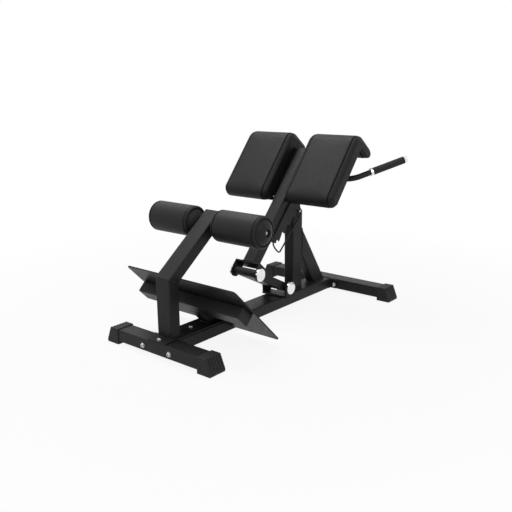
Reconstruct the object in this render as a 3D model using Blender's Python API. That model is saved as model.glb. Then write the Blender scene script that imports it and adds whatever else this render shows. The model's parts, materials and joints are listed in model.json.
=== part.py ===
"""Hyperextension bench: a bolted steel frame, foot plate, heel rollers and an adjustable pad carriage.

Metres, +Z up, +X from the foot end towards the pads, +Y to the left.
Side view numbers (x, z) are measured from the front face of the front cross tube and from the
floor. The empty "bench" carries everything, and puts the origin under the middle of the bench.
"""
import math

import bmesh
import bpy
from mathutils import Vector

# Fits
GAP = 0.0003                    # between touching pieces
HOLE_PLAY = 0.0003              # radial play of a bolt, pin or axle in its hole
SLIDE_GAP = 0.0005              # beside a face that another piece slides past

# Steel sections
WALL = 0.003
TUBE_CORNER = 0.005
PLATE = 0.005

# Floor frame
FLOOR_TUBE_LOW = 0.012
FLOOR_TUBE_HEIGHT = 0.050
FLOOR_TUBE_DEPTH = 0.075
REAR_TUBE_X = 1.125
RAIL_WIDTH = 0.100
FLANGE = 0.006
FRONT_FLANGE_HALF = 0.090
REAR_FLANGE_HALF = 0.088
FLANGE_BOLT_Y = 0.073
FLANGE_BOLT_Z = 0.034

# Foot caps, slipped over the ends of the cross tubes
FRONT_CAP_OUT = 0.262
REAR_CAP_OUT = 0.357
CAP_TOE = 0.022
CAP_SLEEVE = 0.043
CAP_SHELL = 0.003
CAP_END_WALL = 0.006
CAP_LIP = 0.010
CAP_RIBS = 5
CAP_RIB_DEPTH = 0.0015
CAP_EDGE = 0.0012

# Front post and arm
POST_FRONT = 0.048
POST_DEPTH = 0.050
POST_WIDTH = 0.075
POST_MITRE_Z = 0.2925
ARM_ANGLE = 37.5
ARM_LENGTH = 0.341
BASE_PLATE_START = 0.004
BASE_PLATE_CORNER = 0.004
BASE_BOLTS_X = (0.021, 0.191)
END_CAP = 0.003

# Foot plate and what carries it
FOOT_PLATE_TOP = (0.1221, 0.2856)
FOOT_PLATE_ANGLE = 45.0
FOOT_PLATE_LENGTH = 0.3695
FOOT_PLATE_HALF = 0.2940
FOOT_PLATE_CORNER = 0.014
NOTCH_CORNER = 0.004
NOTCH_ROOT = 0.002
RAIL_NOTCH_PLAY = 0.002
FOOT_TUBE_FROM_TOP = 0.106
FOOT_TUBE_ALONG = 0.070
FOOT_TUBE_DEEP = 0.050
FOOT_TUBE_HALF = 0.271
FOOT_STRUT_WIDTH = 0.050

# Heel rollers
ROLLER_FROM_ARM_TIP = 0.0484
ROLLER_RADIUS = 0.0632
ROLLER_INNER_Y = 0.0490         # tips of the domed ends
ROLLER_OUTER_Y = 0.3030
ROLLER_SHOULDER = 0.009
ROLLER_DOME = 0.017
DOME_STEPS = 3
ROLLER_SEAM = 0.0015
AXLE_RADIUS = 0.0095
CORE_WALL = 0.003
AXLE_RECESS = 0.010
SPIN_PLAY = 0.0006

# Rear upright, its brace and the pin that the racks hook on
UPRIGHT_X = 0.838
UPRIGHT_DEPTH = 0.075
UPRIGHT_WIDTH = 0.050
BRACE_FOOT_X = 1.104
BRACE_ANGLE = 56.5
BRACE_DEEP = 0.073
RACK_PIN_RADIUS = 0.006
RACK_PIN_HALF = 0.046
RACK_PIN_EDGE = 0.001
RACK_PIN_PLAY = 0.0019          # below the top of the pocket in use

# Swing link between the rail and the pad carriage
LOWER_PIVOT = (0.7573, 0.1042)
UPPER_PIVOT = (0.5396, 0.2157)
BRACKET_HALF = 0.0685
BRACKET_PLATE = 0.006
LUG_RADIUS = 0.0285
BRACKET_REACH = 0.0417
BARREL_RADIUS = 0.0185
BARREL_SIDE_GAP = 0.0010
PIVOT_PIN_RADIUS = 0.008
LINK_WIDTH = 0.100
LINK_DEEP = 0.036
LINK_WALL = 0.004
VENT_RADIUS = 0.004
PIVOT_CAP_RADIUS = 0.0285
PIVOT_CAP_WIDTH = 0.0095
CHROME_EDGE = 0.0015

# Pad carriage tube
CARRIAGE_ANGLE = 48.2
CARRIAGE_TUBE = 0.050
CARRIAGE_WIDTH = 0.060
CARRIAGE_SETBACK = 0.0285       # front face of the tube, ahead of the upper pivot
CARRIAGE_TOP = 0.646            # top of the tube, along it from the upper pivot

# Rack plates: five hooks in a row, and a guard rod below the near one
RACK_PLATE = 0.006
RACK_LAP = 0.0065               # how far a rack lies on the side of the carriage tube
RACK_HEEL = 0.1716              # lower, front and top corners, along the tube from the upper pivot
RACK_NOSE = 0.185
RACK_HEAD = 0.402
RACK_POCKETS = 5
RACK_STEP = (0.0393, 0.0288)
POCKET_RADIUS = 0.0105
POCKET_LAST = (0.8654, 0.4490)  # top of the pocket in use
POCKET_END = 15                 # where its round top ends, in degrees
TIP = (0.0105, -0.0095)         # hook point, from the top of its pocket
RACK_TOE = (0.017, 0.0125)      # lower edge in front of the first pocket, before and below its top
HOOK_START = 0.015              # flat under the last hook, from the top of the last pocket
HOOK_END = 0.0265
RACK_HOLLOW = (0.0395, 0.0190)  # centre of the hollow in the rear edge, from the same place
RACK_HOLLOW_RADIUS = 0.028
RACK_HOLLOW_START = 238
RACK_REAR_TOP = (0.0085, 0.0760)
GUARD_RADIUS = 0.0035
GUARD_ROUTE = (
    (0.6900, 0.3000), (0.7035, 0.2855), (0.7175, 0.2745),
    (0.7280, 0.2752), (0.7350, 0.2820), (0.8795, 0.4150),
)

# Pads: the face plane, and the cushion's depth behind it
PAD_FOOT = (0.7165, 0.5307)
PAD_ANGLE = 50.4
PAD_THICK = 0.062
PAD_BELOW = 0.006
PAD_TOP = 0.3575
PAD_FLAP_REACH = 0.150
PAD_FLAP_THICK = 0.050
PAD_TOP_RADIUS = 0.052
PAD_BOTTOM_RADIUS = 0.034
PAD_END_RADIUS = 0.022
PAD_INNER_RADIUS = 0.008
PAD_INNER_Y = 0.054
PAD_OUTER_Y = 0.298
PAD_EDGE_RADIUS = 0.013
PAD_LOW_CORNER = 0.016          # extra rounding of the corners, seen from the front
PAD_TOP_CORNER = 0.006
PAD_SEAM_WIDTH = 0.003
PAD_SEAM_DEPTH = 0.0018
PAD_CROWN = 0.003
PAD_SIDE_DRAW = 0.0015
BOARD = 0.009
BOARD_MARGIN = 0.020
BOARD_BELOW_FLAP = 0.0085
BOARD_CORNER = 0.010
BRACKET_OUT = 0.130
BRACKET_ENDS = (0.016, 0.298)
BRACKET_CORNER = 0.012
PAD_STRIP = 0.070               # longest flat strip round a cushion

# Handle bar behind the pads
HANDLE_Z = 0.5975
HANDLE_RADIUS = 0.0125
HANDLE_WALL = 0.002
HANDLE_BEND_Y = 0.234
HANDLE_BEND_RADIUS = 0.075
HANDLE_OUTWARD = 33.0
HANDLE_RISE = 16.6
HANDLE_TO_RING = 0.055
RING_WIDTH = 0.013
RING_RADIUS = 0.0178
GRIP_RADIUS = 0.0162
GRIP_LENGTH = 0.157
GRIP_CAP = 0.015

# Chrome bolts
BOLT_HEAD_RADIUS = 0.0085
BOLT_HEAD = 0.006
BOLT_RADIUS = 0.005
BASE_BOLT_LENGTH = 0.016
DRILL = 0.300                   # length of a drilled hole's cutter
SHORT_DRILL = 0.040

# Worked-out places
BOLT_HOLE = BOLT_RADIUS + HOLE_PLAY
PIVOT_BORE = PIVOT_PIN_RADIUS + HOLE_PLAY
FLOOR_TUBE_TOP = FLOOR_TUBE_LOW + FLOOR_TUBE_HEIGHT
FLOOR_TUBE_MID = FLOOR_TUBE_LOW + FLOOR_TUBE_HEIGHT / 2
CENTRE_X = (REAR_TUBE_X + FLOOR_TUBE_DEPTH + CAP_SHELL - BOLT_HEAD) / 2
BASE_PLATE_TOP = FLOOR_TUBE_TOP + GAP + PLATE
ARM_DIR = Vector((math.cos(math.radians(ARM_ANGLE)), 0, math.sin(math.radians(ARM_ANGLE))))
ARM_FOOT = Vector((POST_FRONT + POST_DEPTH / 2, 0, POST_MITRE_Z))
ROLLER_AXIS = ARM_FOOT + ARM_DIR * (ARM_LENGTH - ROLLER_FROM_ARM_TIP)
RACK_PIN = Vector((POCKET_LAST[0], 0, POCKET_LAST[1] - RACK_PIN_RADIUS - RACK_PIN_PLAY))
UPRIGHT_TOP = RACK_PIN.z - RACK_PIN_RADIUS - GAP
LOW = Vector((LOWER_PIVOT[0], 0, LOWER_PIVOT[1]))
HIGH = Vector((UPPER_PIVOT[0], 0, UPPER_PIVOT[1]))
LUG_INNER = BRACKET_HALF - BRACKET_PLATE
CARRIAGE_DIR = Vector((math.cos(math.radians(CARRIAGE_ANGLE)), 0, math.sin(math.radians(CARRIAGE_ANGLE))))
CARRIAGE_BACK = Vector((CARRIAGE_DIR.z, 0, -CARRIAGE_DIR.x))
CARRIAGE_MID = CARRIAGE_TUBE / 2 - CARRIAGE_SETBACK
RACK_Y = CARRIAGE_WIDTH / 2 + SLIDE_GAP
PAD_UP = Vector((math.cos(math.radians(PAD_ANGLE)), 0, math.sin(math.radians(PAD_ANGLE))))
PAD_BACK = Vector((PAD_UP.z, 0, -PAD_UP.x))
SIDES = {"left": 1, "right": -1}


def clear_scene():
    """Removes whatever the open file holds."""
    for obj in list(bpy.data.objects):
        bpy.data.objects.remove(obj, do_unlink=True)


def material(name, colour, roughness, metallic=0.0):
    """A Principled material."""
    made = bpy.data.materials.new(name)
    made.use_nodes = True
    shader = made.node_tree.nodes["Principled BSDF"]
    shader.inputs["Base Color"].default_value = (*colour, 1)
    shader.inputs["Roughness"].default_value = roughness
    shader.inputs["Metallic"].default_value = metallic
    return made


def empty(name, place, parent=None):
    """An empty at a place in the bench's own numbers."""
    made = bpy.data.objects.new(name, None)
    bpy.context.scene.collection.objects.link(made)
    made.location = place
    made.parent = parent
    return made


def add(name, bm, look, place=None, parent=None, turn=(0, 0, 0), smooth=40):
    """An object from a finished bmesh, placed under its parent."""
    bmesh.ops.recalc_face_normals(bm, faces=bm.faces)
    mesh = bpy.data.meshes.new(name)
    bm.to_mesh(mesh)
    bm.free()
    mesh.shade_smooth()
    mesh.set_sharp_from_angle(angle=math.radians(smooth))
    mesh.materials.append(look)
    made = bpy.data.objects.new(name, mesh)
    bpy.context.scene.collection.objects.link(made)
    made.location = place or (0, 0, 0)
    made.rotation_euler = turn
    made.parent = parent
    return made


def combine(target, tool, operation="DIFFERENCE"):
    """Cuts a tool out of the target, or joins it on, and leaves the tool as a wire guide."""
    tool.hide_render = True
    tool.display_type = "WIRE"
    step = target.modifiers.new(tool.name, "BOOLEAN")
    step.operation = operation
    step.object = tool
    step.solver = "EXACT"


def skin(rings, closed_ring=True, caps=True):
    """A bmesh through rings of points; without caps the last ring joins the first."""
    bm = bmesh.new()
    rows = [[bm.verts.new(point) for point in ring] for ring in rings]
    count = len(rows[0])
    pairs = list(zip(rows, rows[1:]))
    if not caps:
        pairs.append((rows[-1], rows[0]))
    for row, following in pairs:
        for i in range(count if closed_ring else count - 1):
            j = (i + 1) % count
            bm.faces.new((row[i], row[j], following[j], following[i]))
    if caps:
        bm.faces.new(rows[0])
        bm.faces.new(rows[-1])
    return bm


def rounded(corners, steps=4):
    """A flat outline through (a, b, radius) corners, with an arc wherever a radius is given."""
    outline = []
    for i, (a, b, radius) in enumerate(corners):
        here = Vector((a, b))
        if radius == 0:
            outline.append(here)
            continue
        before = (Vector(corners[i - 1][:2]) - here).normalized()
        after = (Vector(corners[(i + 1) % len(corners)][:2]) - here).normalized()
        half = before.angle(after) / 2
        centre = here + (before + after).normalized() * (radius / math.sin(half))
        start = here + before * (radius / math.tan(half)) - centre
        end = here + after * (radius / math.tan(half)) - centre
        first = math.atan2(start.y, start.x)
        sweep = math.remainder(math.atan2(end.y, end.x) - first, math.tau)
        for step in range(steps + 1):
            angle = first + sweep * step / steps
            outline.append(centre + Vector((math.cos(angle), math.sin(angle))) * radius)
    return outline


def inset(outline, amount):
    """The outline moved inward by an amount, point by point."""
    area = sum(p.x * q.y - q.x * p.y for p, q in zip(outline, outline[1:] + outline[:1]))
    inward = 1 if area > 0 else -1
    moved = []
    for i, point in enumerate(outline):
        before = (point - outline[i - 1]).normalized()
        after = (outline[(i + 1) % len(outline)] - point).normalized()
        along = (before + after).normalized()
        normal = Vector((-along.y, along.x)) * inward
        moved.append(point + normal * (amount / max(0.5, along.dot(before))))
    return moved


def side_prism(outline, y_from, y_to):
    """A side-view outline (x, z) carried from one y to another."""
    return skin([[(p.x, y, p.y) for p in outline] for y in (y_from, y_to)])


def flat_plate(outline, thick):
    """An outline (x, y) from z = 0 up to its thickness."""
    return skin([[(p.x, p.y, z) for p in outline] for z in (0, thick)])


def upright_plate(outline, x_front, thick):
    """An outline (y, z) carried back from one x by its thickness."""
    return skin([[(x, p.x, p.y) for p in outline] for x in (x_front, x_front + thick)])


def lathe(profile, sides=32, ring=False):
    """A profile of (radius, height) turned about Z: a ring, or a solid with its ends on the axis."""
    bm = bmesh.new()
    rows = []
    for radius, height in profile:
        if radius == 0:
            rows.append([bm.verts.new((0, 0, height))] * sides)
        else:
            angles = [math.tau * i / sides for i in range(sides)]
            rows.append([bm.verts.new((radius * math.cos(t), radius * math.sin(t), height)) for t in angles])
    pairs = list(zip(rows, rows[1:]))
    if ring:
        pairs.append((rows[-1], rows[0]))
    for row, following in pairs:
        for i in range(sides):
            j = (i + 1) % sides
            corners = dict.fromkeys((row[i], row[j], following[j], following[i]))
            bm.faces.new(list(corners))
    return bm


def arc(centre, radius, first, last, steps):
    """Points (a, b) on an arc between two angles in degrees."""
    angles = [math.radians(first + (last - first) * i / steps) for i in range(steps + 1)]
    return [(centre[0] + radius * math.cos(t), centre[1] + radius * math.sin(t)) for t in angles]


def section(wide, deep, corner, steps=3):
    """The rounded rectangle of a tube, centred on its axis."""
    half_w = wide / 2
    half_d = deep / 2
    corners = ((-half_w, -half_d), (half_w, -half_d), (half_w, half_d), (-half_w, half_d))
    return rounded([(a, b, corner) for a, b in corners], steps)


def box_tube(start, end, across, wide, deep, cut_start=None, cut_end=None, wall=WALL):
    """An open rectangular tube, deep along the vector across; a cut is a line its end lies on."""
    axis = (end - start).normalized()
    side = axis.cross(across)

    def ring(outline, end_point, cut):
        points = []
        for point in outline:
            shift = point.y * cut.dot(axis) / cut.dot(across) if cut else 0
            points.append(end_point + axis * shift + side * point.x + across * point.y)
        return points

    outer = section(wide, deep, TUBE_CORNER)
    inner = section(wide - 2 * wall, deep - 2 * wall, TUBE_CORNER - wall)
    rings = [
        ring(outer, start, cut_start), ring(outer, end, cut_end),
        ring(inner, end, cut_end), ring(inner, start, cut_start),
    ]
    return skin(rings, caps=False)


def swept(points, outer, inner=0, sides=14):
    """A round bar, or a tube where an inner radius is given, along a list of points."""
    rings = []
    inside = []
    across = None
    for i, point in enumerate(points):
        forward = (points[min(i + 1, len(points) - 1)] - points[max(i - 1, 0)]).normalized()
        if across is None:
            across = forward.orthogonal().normalized()
        across = (across - forward * across.dot(forward)).normalized()
        other = forward.cross(across)
        spokes = [across * math.cos(math.tau * k / sides) + other * math.sin(math.tau * k / sides)
                  for k in range(sides)]
        rings.append([point + spoke * outer for spoke in spokes])
        inside.append([point + spoke * inner for spoke in spokes])
    if inner:
        return skin(rings + inside[::-1], caps=False)
    return skin(rings)


def cylinder_along_y(name, radius, half, place, parent, sides=32):
    """A plain cylinder across the bench, used to cut bores or to join barrels on."""
    bm = lathe([(0, -half), (radius, -half), (radius, half), (0, half)], sides)
    return add(name, bm, LOOKS["steel"], place, parent, turn=(math.pi / 2, 0, 0))


def hole(target, name, place, direction, radius, length, parent):
    """A round hole through a target, centred on a place."""
    bm = lathe([(0, -length / 2), (radius, -length / 2), (radius, length / 2), (0, length / 2)], 12)
    turn = direction.to_track_quat("Z", "Y").to_euler()
    combine(target, add(name, bm, LOOKS["steel"], place, parent, turn))


def bolt(name, place, direction, length, parent):
    """A dome-headed chrome bolt; its head's seat is at the place, its shank runs against direction."""
    dome = arc((0, -BOLT_HEAD), 2 * BOLT_HEAD, 90, 45, 3)
    stretch = BOLT_HEAD_RADIUS / dome[-1][0]
    top = [(radius * stretch, height) for radius, height in dome[1:]]
    profile = [(0, BOLT_HEAD), *top, (BOLT_HEAD_RADIUS, GAP), (BOLT_RADIUS, GAP),
               (BOLT_RADIUS, -length), (0, -length)]
    turn = direction.to_track_quat("Z", "Y").to_euler()
    return add(name, lathe(profile, 16), LOOKS["chrome"], place, parent, turn)


def mirror_y(point, side):
    """A point on the left or the right of the middle plane."""
    return Vector((point[0], point[1] * side, point[2]))


def foot_cap(name, x_front, out, side, parent):
    """A ribbed cap over a cross tube's end, with a sole that stands on the floor and a sloping end."""
    top = FLOOR_TUBE_TOP + CAP_SHELL
    back = x_front + FLOOR_TUBE_DEPTH + CAP_SHELL
    front = x_front - CAP_SHELL
    stations = [(front, 0)]
    rib = (back - front) / (2 * CAP_RIBS + 1)
    for i in range(CAP_RIBS):
        low = front + rib * (2 * i + 1)
        high = low + rib
        stations += [(low, 0), (low + CAP_RIB_DEPTH / 2, CAP_RIB_DEPTH)]
        stations += [(high - CAP_RIB_DEPTH / 2, CAP_RIB_DEPTH), (high, 0)]
    stations.append((back, 0))
    rings = []
    for x, depth in stations:
        outline = [(out - CAP_SLEEVE, 0), (out + CAP_TOE, 0), (out + CAP_TOE, CAP_LIP),
                   (out + CAP_TOE - depth, CAP_LIP + depth / 2), (out - depth, top - depth),
                   (out - 2 * CAP_RIB_DEPTH, top), (out - CAP_SLEEVE, top)]
        rings.append([(x, y * side, z) for y, z in outline])
    body = skin(rings)
    cap = add(name, body, LOOKS["rubber"], parent=parent)
    edge = cap.modifiers.new("rounded edges", "BEVEL")
    edge.width = CAP_EDGE
    edge.segments = 1
    edge.limit_method = "ANGLE"
    edge.angle_limit = math.radians(80)
    start = Vector((x_front + FLOOR_TUBE_DEPTH / 2, (out - CAP_END_WALL) * side, FLOOR_TUBE_MID))
    end = start - Vector((0, CAP_SLEEVE * side, 0))
    grow = 2 * GAP
    outer = section(FLOOR_TUBE_DEPTH + grow, FLOOR_TUBE_HEIGHT + grow, TUBE_CORNER)
    rings = [[(place.x + p.x, place.y, place.z + p.y) for p in outer] for place in (start, end)]
    combine(cap, add(name + "_pocket", skin(rings), LOOKS["steel"], parent=parent))
    return cap


def floor_frame(bench):
    """Cross tubes, foot caps, rail, end flanges and their bolts."""
    up = Vector((0, 0, 1))
    ends = (("front", 0, FRONT_CAP_OUT), ("rear", REAR_TUBE_X, REAR_CAP_OUT))
    tubes = {}
    for end, x_front, out in ends:
        half = out - CAP_END_WALL - GAP
        middle = Vector((x_front + FLOOR_TUBE_DEPTH / 2, 0, FLOOR_TUBE_MID))
        tube = box_tube(middle - Vector((0, half, 0)), middle + Vector((0, half, 0)), up,
                        FLOOR_TUBE_DEPTH, FLOOR_TUBE_HEIGHT)
        tubes[end] = add(end + "_cross_tube", tube, LOOKS["frame"], parent=bench)
        for side_name, side in SIDES.items():
            foot_cap(f"{end}_foot_cap_{side_name}", x_front, out, side, bench)

    rail_start = FLOOR_TUBE_DEPTH + FLANGE + 2 * GAP
    rail_end = REAR_TUBE_X - FLANGE - 2 * GAP
    rail = box_tube(Vector((rail_start, 0, FLOOR_TUBE_MID)), Vector((rail_end, 0, FLOOR_TUBE_MID)), up,
                    RAIL_WIDTH, FLOOR_TUBE_HEIGHT)
    rail = add("main_rail", rail, LOOKS["frame"], parent=bench)

    flanges = (("front", FLOOR_TUBE_DEPTH + GAP, FRONT_FLANGE_HALF), ("rear", rail_end + GAP, REAR_FLANGE_HALF))
    for end, x_front, half in flanges:
        low = FLOOR_TUBE_LOW + WALL
        high = FLOOR_TUBE_TOP - WALL
        outline = rounded([(-half, low, WALL), (half, low, WALL), (half, high, WALL), (-half, high, WALL)], 3)
        body = upright_plate(outline, x_front, FLANGE)
        flange = add(f"rail_{end}_flange", body, LOOKS["frame"], parent=bench)
        for side_name, side in SIDES.items():
            if end == "front":
                seat = Vector((0, FLANGE_BOLT_Y * side, FLANGE_BOLT_Z))
                length = FLOOR_TUBE_DEPTH + FLANGE
            else:
                seat = Vector((x_front, FLANGE_BOLT_Y * side, FLANGE_BOLT_Z))
                length = FLOOR_TUBE_DEPTH + FLANGE + GAP
            out = Vector((-1, 0, 0))
            bolt(f"{end}_flange_bolt_{side_name}", seat, out, length, bench)
            for target in (flange, tubes[end]):
                hole(target, f"{target.name}_hole_{side_name}", seat, out, BOLT_HOLE, DRILL, bench)
    return tubes["front"], rail


def post_and_arm(bench, front_tube, rail):
    """Base plate, front post, sloping arm with its end cap, and the base plate's bolts."""
    slope = math.tan(math.radians(FOOT_PLATE_ANGLE))
    plate_end = FOOT_PLATE_TOP[0] + (FOOT_PLATE_TOP[1] - BASE_PLATE_TOP) / slope - PLATE / 2
    half = RAIL_WIDTH / 2
    corners = [(x, y, BASE_PLATE_CORNER) for x, y in ((BASE_PLATE_START, -half), (plate_end, -half),
                                                      (plate_end, half), (BASE_PLATE_START, half))]
    plate = add("post_base_plate", flat_plate(rounded(corners, 3), PLATE), LOOKS["frame"],
                (0, 0, FLOOR_TUBE_TOP + GAP), bench)
    for index, x in enumerate(BASE_BOLTS_X):
        place = Vector((x, 0, BASE_PLATE_TOP))
        up = Vector((0, 0, 1))
        bolt(("base_plate_bolt_front", "base_plate_bolt_rear")[index], place, up, BASE_BOLT_LENGTH, bench)
        for target in (plate, (front_tube, rail)[index]):
            hole(target, f"{target.name}_bolt_hole", place, up, BOLT_HOLE, SHORT_DRILL, bench)

    back = Vector((1, 0, 0))
    mitre = (Vector((0, 0, 1)) - ARM_DIR).normalized()
    gap_along = GAP / 2
    post = box_tube(Vector((ARM_FOOT.x, 0, BASE_PLATE_TOP + GAP)), ARM_FOOT - Vector((0, 0, gap_along)), back,
                    POST_WIDTH, POST_DEPTH, cut_end=mitre)
    add("front_post", post, LOOKS["frame"], parent=bench)

    across = Vector((ARM_DIR.z, 0, -ARM_DIR.x))
    tip = ARM_FOOT + ARM_DIR * ARM_LENGTH
    arm = box_tube(ARM_FOOT + ARM_DIR * gap_along, tip, across, POST_WIDTH, POST_DEPTH, cut_start=mitre)
    arm = add("front_arm", arm, LOOKS["frame"], parent=bench)
    combine(arm, cylinder_along_y("arm_axle_bore", AXLE_RADIUS + HOLE_PLAY, POST_WIDTH, ROLLER_AXIS, bench))

    outer = section(POST_WIDTH, POST_DEPTH, TUBE_CORNER)
    plug = section(POST_WIDTH - 2 * WALL - 2 * GAP, POST_DEPTH - 2 * WALL - 2 * GAP, TUBE_CORNER - WALL)
    add("arm_end_cap", end_plug(outer, plug, tip, ARM_DIR, across), LOOKS["plastic"], parent=bench)


def end_plug(outer, plug, place, out, across):
    """A tube's end cap: a flat head as wide as the tube and a plug that reaches inside it."""
    side = out.cross(across)

    def ring(outline, along):
        return [place + out * along + side * p.x + across * p.y for p in outline]

    rings = [ring(plug, -3 * END_CAP), ring(plug, GAP), ring(outer, GAP), ring(outer, GAP + END_CAP / 2),
             ring(inset(outer, END_CAP / 2), GAP + END_CAP)]
    return skin(rings)


def foot_rest(bench):
    """Sloping foot plate with a notch over the rail, its cross tube and the strut under it."""
    angle = math.radians(FOOT_PLATE_ANGLE)
    place = Vector((FOOT_PLATE_TOP[0], 0, FOOT_PLATE_TOP[1]))
    down = Vector((math.cos(angle), 0, -math.sin(angle)))
    out = Vector((math.sin(angle), 0, math.cos(angle)))
    notch_start = (place.z - FLOOR_TUBE_TOP - PLATE / 2) / math.sin(angle)
    notch_half = RAIL_WIDTH / 2 + RAIL_NOTCH_PLAY
    half = FOOT_PLATE_HALF
    radius = FOOT_PLATE_CORNER
    corners = [(0, -half, radius), (FOOT_PLATE_LENGTH, -half, radius),
               (FOOT_PLATE_LENGTH, -notch_half, NOTCH_CORNER), (notch_start, -notch_half, NOTCH_ROOT),
               (notch_start, notch_half, NOTCH_ROOT), (FOOT_PLATE_LENGTH, notch_half, NOTCH_CORNER),
               (FOOT_PLATE_LENGTH, half, radius), (0, half, radius)]
    add("foot_plate", flat_plate(rounded(corners, 5), PLATE), LOOKS["frame"], place, bench, turn=(0, angle, 0))

    deep_mid = -(GAP + FOOT_TUBE_DEEP / 2)
    middle = place + down * (FOOT_TUBE_FROM_TOP + FOOT_TUBE_ALONG / 2) + out * deep_mid
    reach = Vector((0, FOOT_TUBE_HALF, 0))
    tube = box_tube(middle - reach, middle + reach, out, FOOT_TUBE_ALONG, FOOT_TUBE_DEEP)
    add("foot_plate_cross_tube", tube, LOOKS["frame"], parent=bench)
    outer = section(FOOT_TUBE_ALONG, FOOT_TUBE_DEEP, TUBE_CORNER)
    inside = 2 * WALL + 2 * GAP
    plug = section(FOOT_TUBE_ALONG - inside, FOOT_TUBE_DEEP - inside, TUBE_CORNER - WALL)
    for side_name, side in SIDES.items():
        body = end_plug(outer, plug, middle + reach * side, Vector((0, side, 0)), out)
        add(f"foot_tube_end_cap_{side_name}", body, LOOKS["plastic"], parent=bench)

    start = place + down * (FOOT_TUBE_FROM_TOP + FOOT_TUBE_ALONG + GAP) + out * deep_mid
    drop = (start.z - BASE_PLATE_TOP - GAP) / down.dot(Vector((0, 0, -1)))
    strut = box_tube(start, start + down * drop, out, FOOT_STRUT_WIDTH, FOOT_TUBE_DEEP,
                     cut_end=Vector((1, 0, 0)))
    add("foot_plate_strut", strut, LOOKS["frame"], parent=bench)


def heel_rollers(bench):
    """Axle through the arm, and on each side a turning sleeve in a foam roller."""
    half = ROLLER_OUTER_Y - AXLE_RECESS
    axle = lathe([(0, -half), (AXLE_RADIUS, -half), (AXLE_RADIUS, half), (0, half)], 24)
    add("roller_axle", axle, LOOKS["steel"], ROLLER_AXIS, bench, turn=(math.pi / 2, 0, 0))

    length = ROLLER_OUTER_Y - ROLLER_INNER_Y
    core_in = AXLE_RADIUS + SPIN_PLAY
    core_out = core_in + CORE_WALL
    bore = core_out + GAP
    for side_name, side in SIDES.items():
        place = ROLLER_AXIS + Vector((0, side * (ROLLER_INNER_Y + length / 2), 0))
        pivot = empty(f"roller_{side_name}_axis", place, bench)
        flat = length / 2 - ROLLER_DOME
        core = [(core_in, -flat), (core_out, -flat), (core_out, flat), (core_in, flat)]
        add(f"roller_core_{side_name}", lathe(core, 24, ring=True), LOOKS["plastic"], None, pivot,
            turn=(math.pi / 2, 0, 0))
        add(f"heel_roller_{side_name}", roller_foam(length, bore), LOOKS["vinyl"], None, pivot,
            turn=(math.pi / 2, 0, 0), smooth=60)


def roller_foam(length, bore):
    """A foam roller: a crowned cylinder, a stitched groove at both ends of each round shoulder."""
    half = length / 2
    side = half - ROLLER_DOME - ROLLER_SHOULDER
    shoulder = ROLLER_RADIUS - ROLLER_SHOULDER
    one_end = [(ROLLER_RADIUS, side - 2 * ROLLER_SEAM), (ROLLER_RADIUS - ROLLER_SEAM, side)]
    one_end += arc((shoulder, side + ROLLER_SEAM), ROLLER_SHOULDER, 6, 84, 4)
    one_end.append((shoulder - ROLLER_SEAM, half - ROLLER_DOME - ROLLER_SEAM))
    rim = shoulder - 2 * ROLLER_SEAM
    for step in range(DOME_STEPS + 1):
        radius = rim + (bore + ROLLER_SEAM - rim) * step / DOME_STEPS
        sunk = (radius * radius - bore * bore) / (rim * rim - bore * bore)
        one_end.append((radius, half - ROLLER_DOME * sunk))
    one_end.append((bore, half - 2 * ROLLER_SEAM))
    other_end = [(radius, -height) for radius, height in reversed(one_end)]
    return lathe(one_end + other_end, 36, ring=True)


def upright_and_brace(bench):
    """Rear upright on the rail, the sloping brace behind it, and the pin across its top."""
    back = Vector((1, 0, 0))
    foot = Vector((UPRIGHT_X + UPRIGHT_DEPTH / 2, 0, FLOOR_TUBE_TOP + GAP))
    head = Vector((foot.x, 0, UPRIGHT_TOP))
    add("rear_upright", box_tube(foot, head, back, UPRIGHT_WIDTH, UPRIGHT_DEPTH), LOOKS["frame"], parent=bench)

    angle = math.radians(BRACE_ANGLE)
    rise = Vector((-math.cos(angle), 0, math.sin(angle)))
    across = Vector((math.sin(angle), 0, math.cos(angle)))
    outer_foot = Vector((BRACE_FOOT_X, 0, FLOOR_TUBE_TOP + GAP))
    middle_foot = outer_foot - Vector((BRACE_DEEP / 2 / math.sin(angle), 0, 0))
    reach = (middle_foot.x - UPRIGHT_X - UPRIGHT_DEPTH - GAP) / math.cos(angle)
    brace = box_tube(middle_foot, middle_foot + rise * reach, across, UPRIGHT_WIDTH, BRACE_DEEP,
                     cut_start=Vector((1, 0, 0)), cut_end=Vector((0, 0, 1)))
    add("upright_brace", brace, LOOKS["frame"], parent=bench)

    one_end = [(RACK_PIN_RADIUS, RACK_PIN_HALF - RACK_PIN_EDGE),
               (RACK_PIN_RADIUS - RACK_PIN_EDGE, RACK_PIN_HALF), (0, RACK_PIN_HALF)]
    pin = [(radius, -height) for radius, height in reversed(one_end)] + one_end
    add("rack_pin", lathe(pin, 24), LOOKS["steel"], RACK_PIN, bench, turn=(math.pi / 2, 0, 0))


def pivot_bracket(name, pivot, to_web, parent):
    """A U-shaped bracket: round lugs about a pivot, and a web at its reach along to_web."""
    angle = math.atan2(to_web.x, to_web.z)
    turn = (0, angle, 0)
    lug = [Vector(p) for p in arc((0, 0), LUG_RADIUS, 180, 360, 16)]
    outline = lug + [Vector((LUG_RADIUS, BRACKET_REACH)), Vector((-LUG_RADIUS, BRACKET_REACH))]
    bracket = add(name, side_prism(outline, -BRACKET_HALF, BRACKET_HALF), LOOKS["frame"], pivot, parent, turn)
    inside = BRACKET_REACH - BRACKET_PLATE
    wide = 2 * LUG_RADIUS
    slot = [Vector(p) for p in ((-wide, -wide), (wide, -wide), (wide, inside), (-wide, inside))]
    body = side_prism(slot, -LUG_INNER, LUG_INNER)
    combine(bracket, add(name + "_slot", body, LOOKS["steel"], pivot, parent, turn))
    combine(bracket, cylinder_along_y(name + "_bore", PIVOT_BORE, 2 * BRACKET_HALF, pivot, parent, 24))


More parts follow.
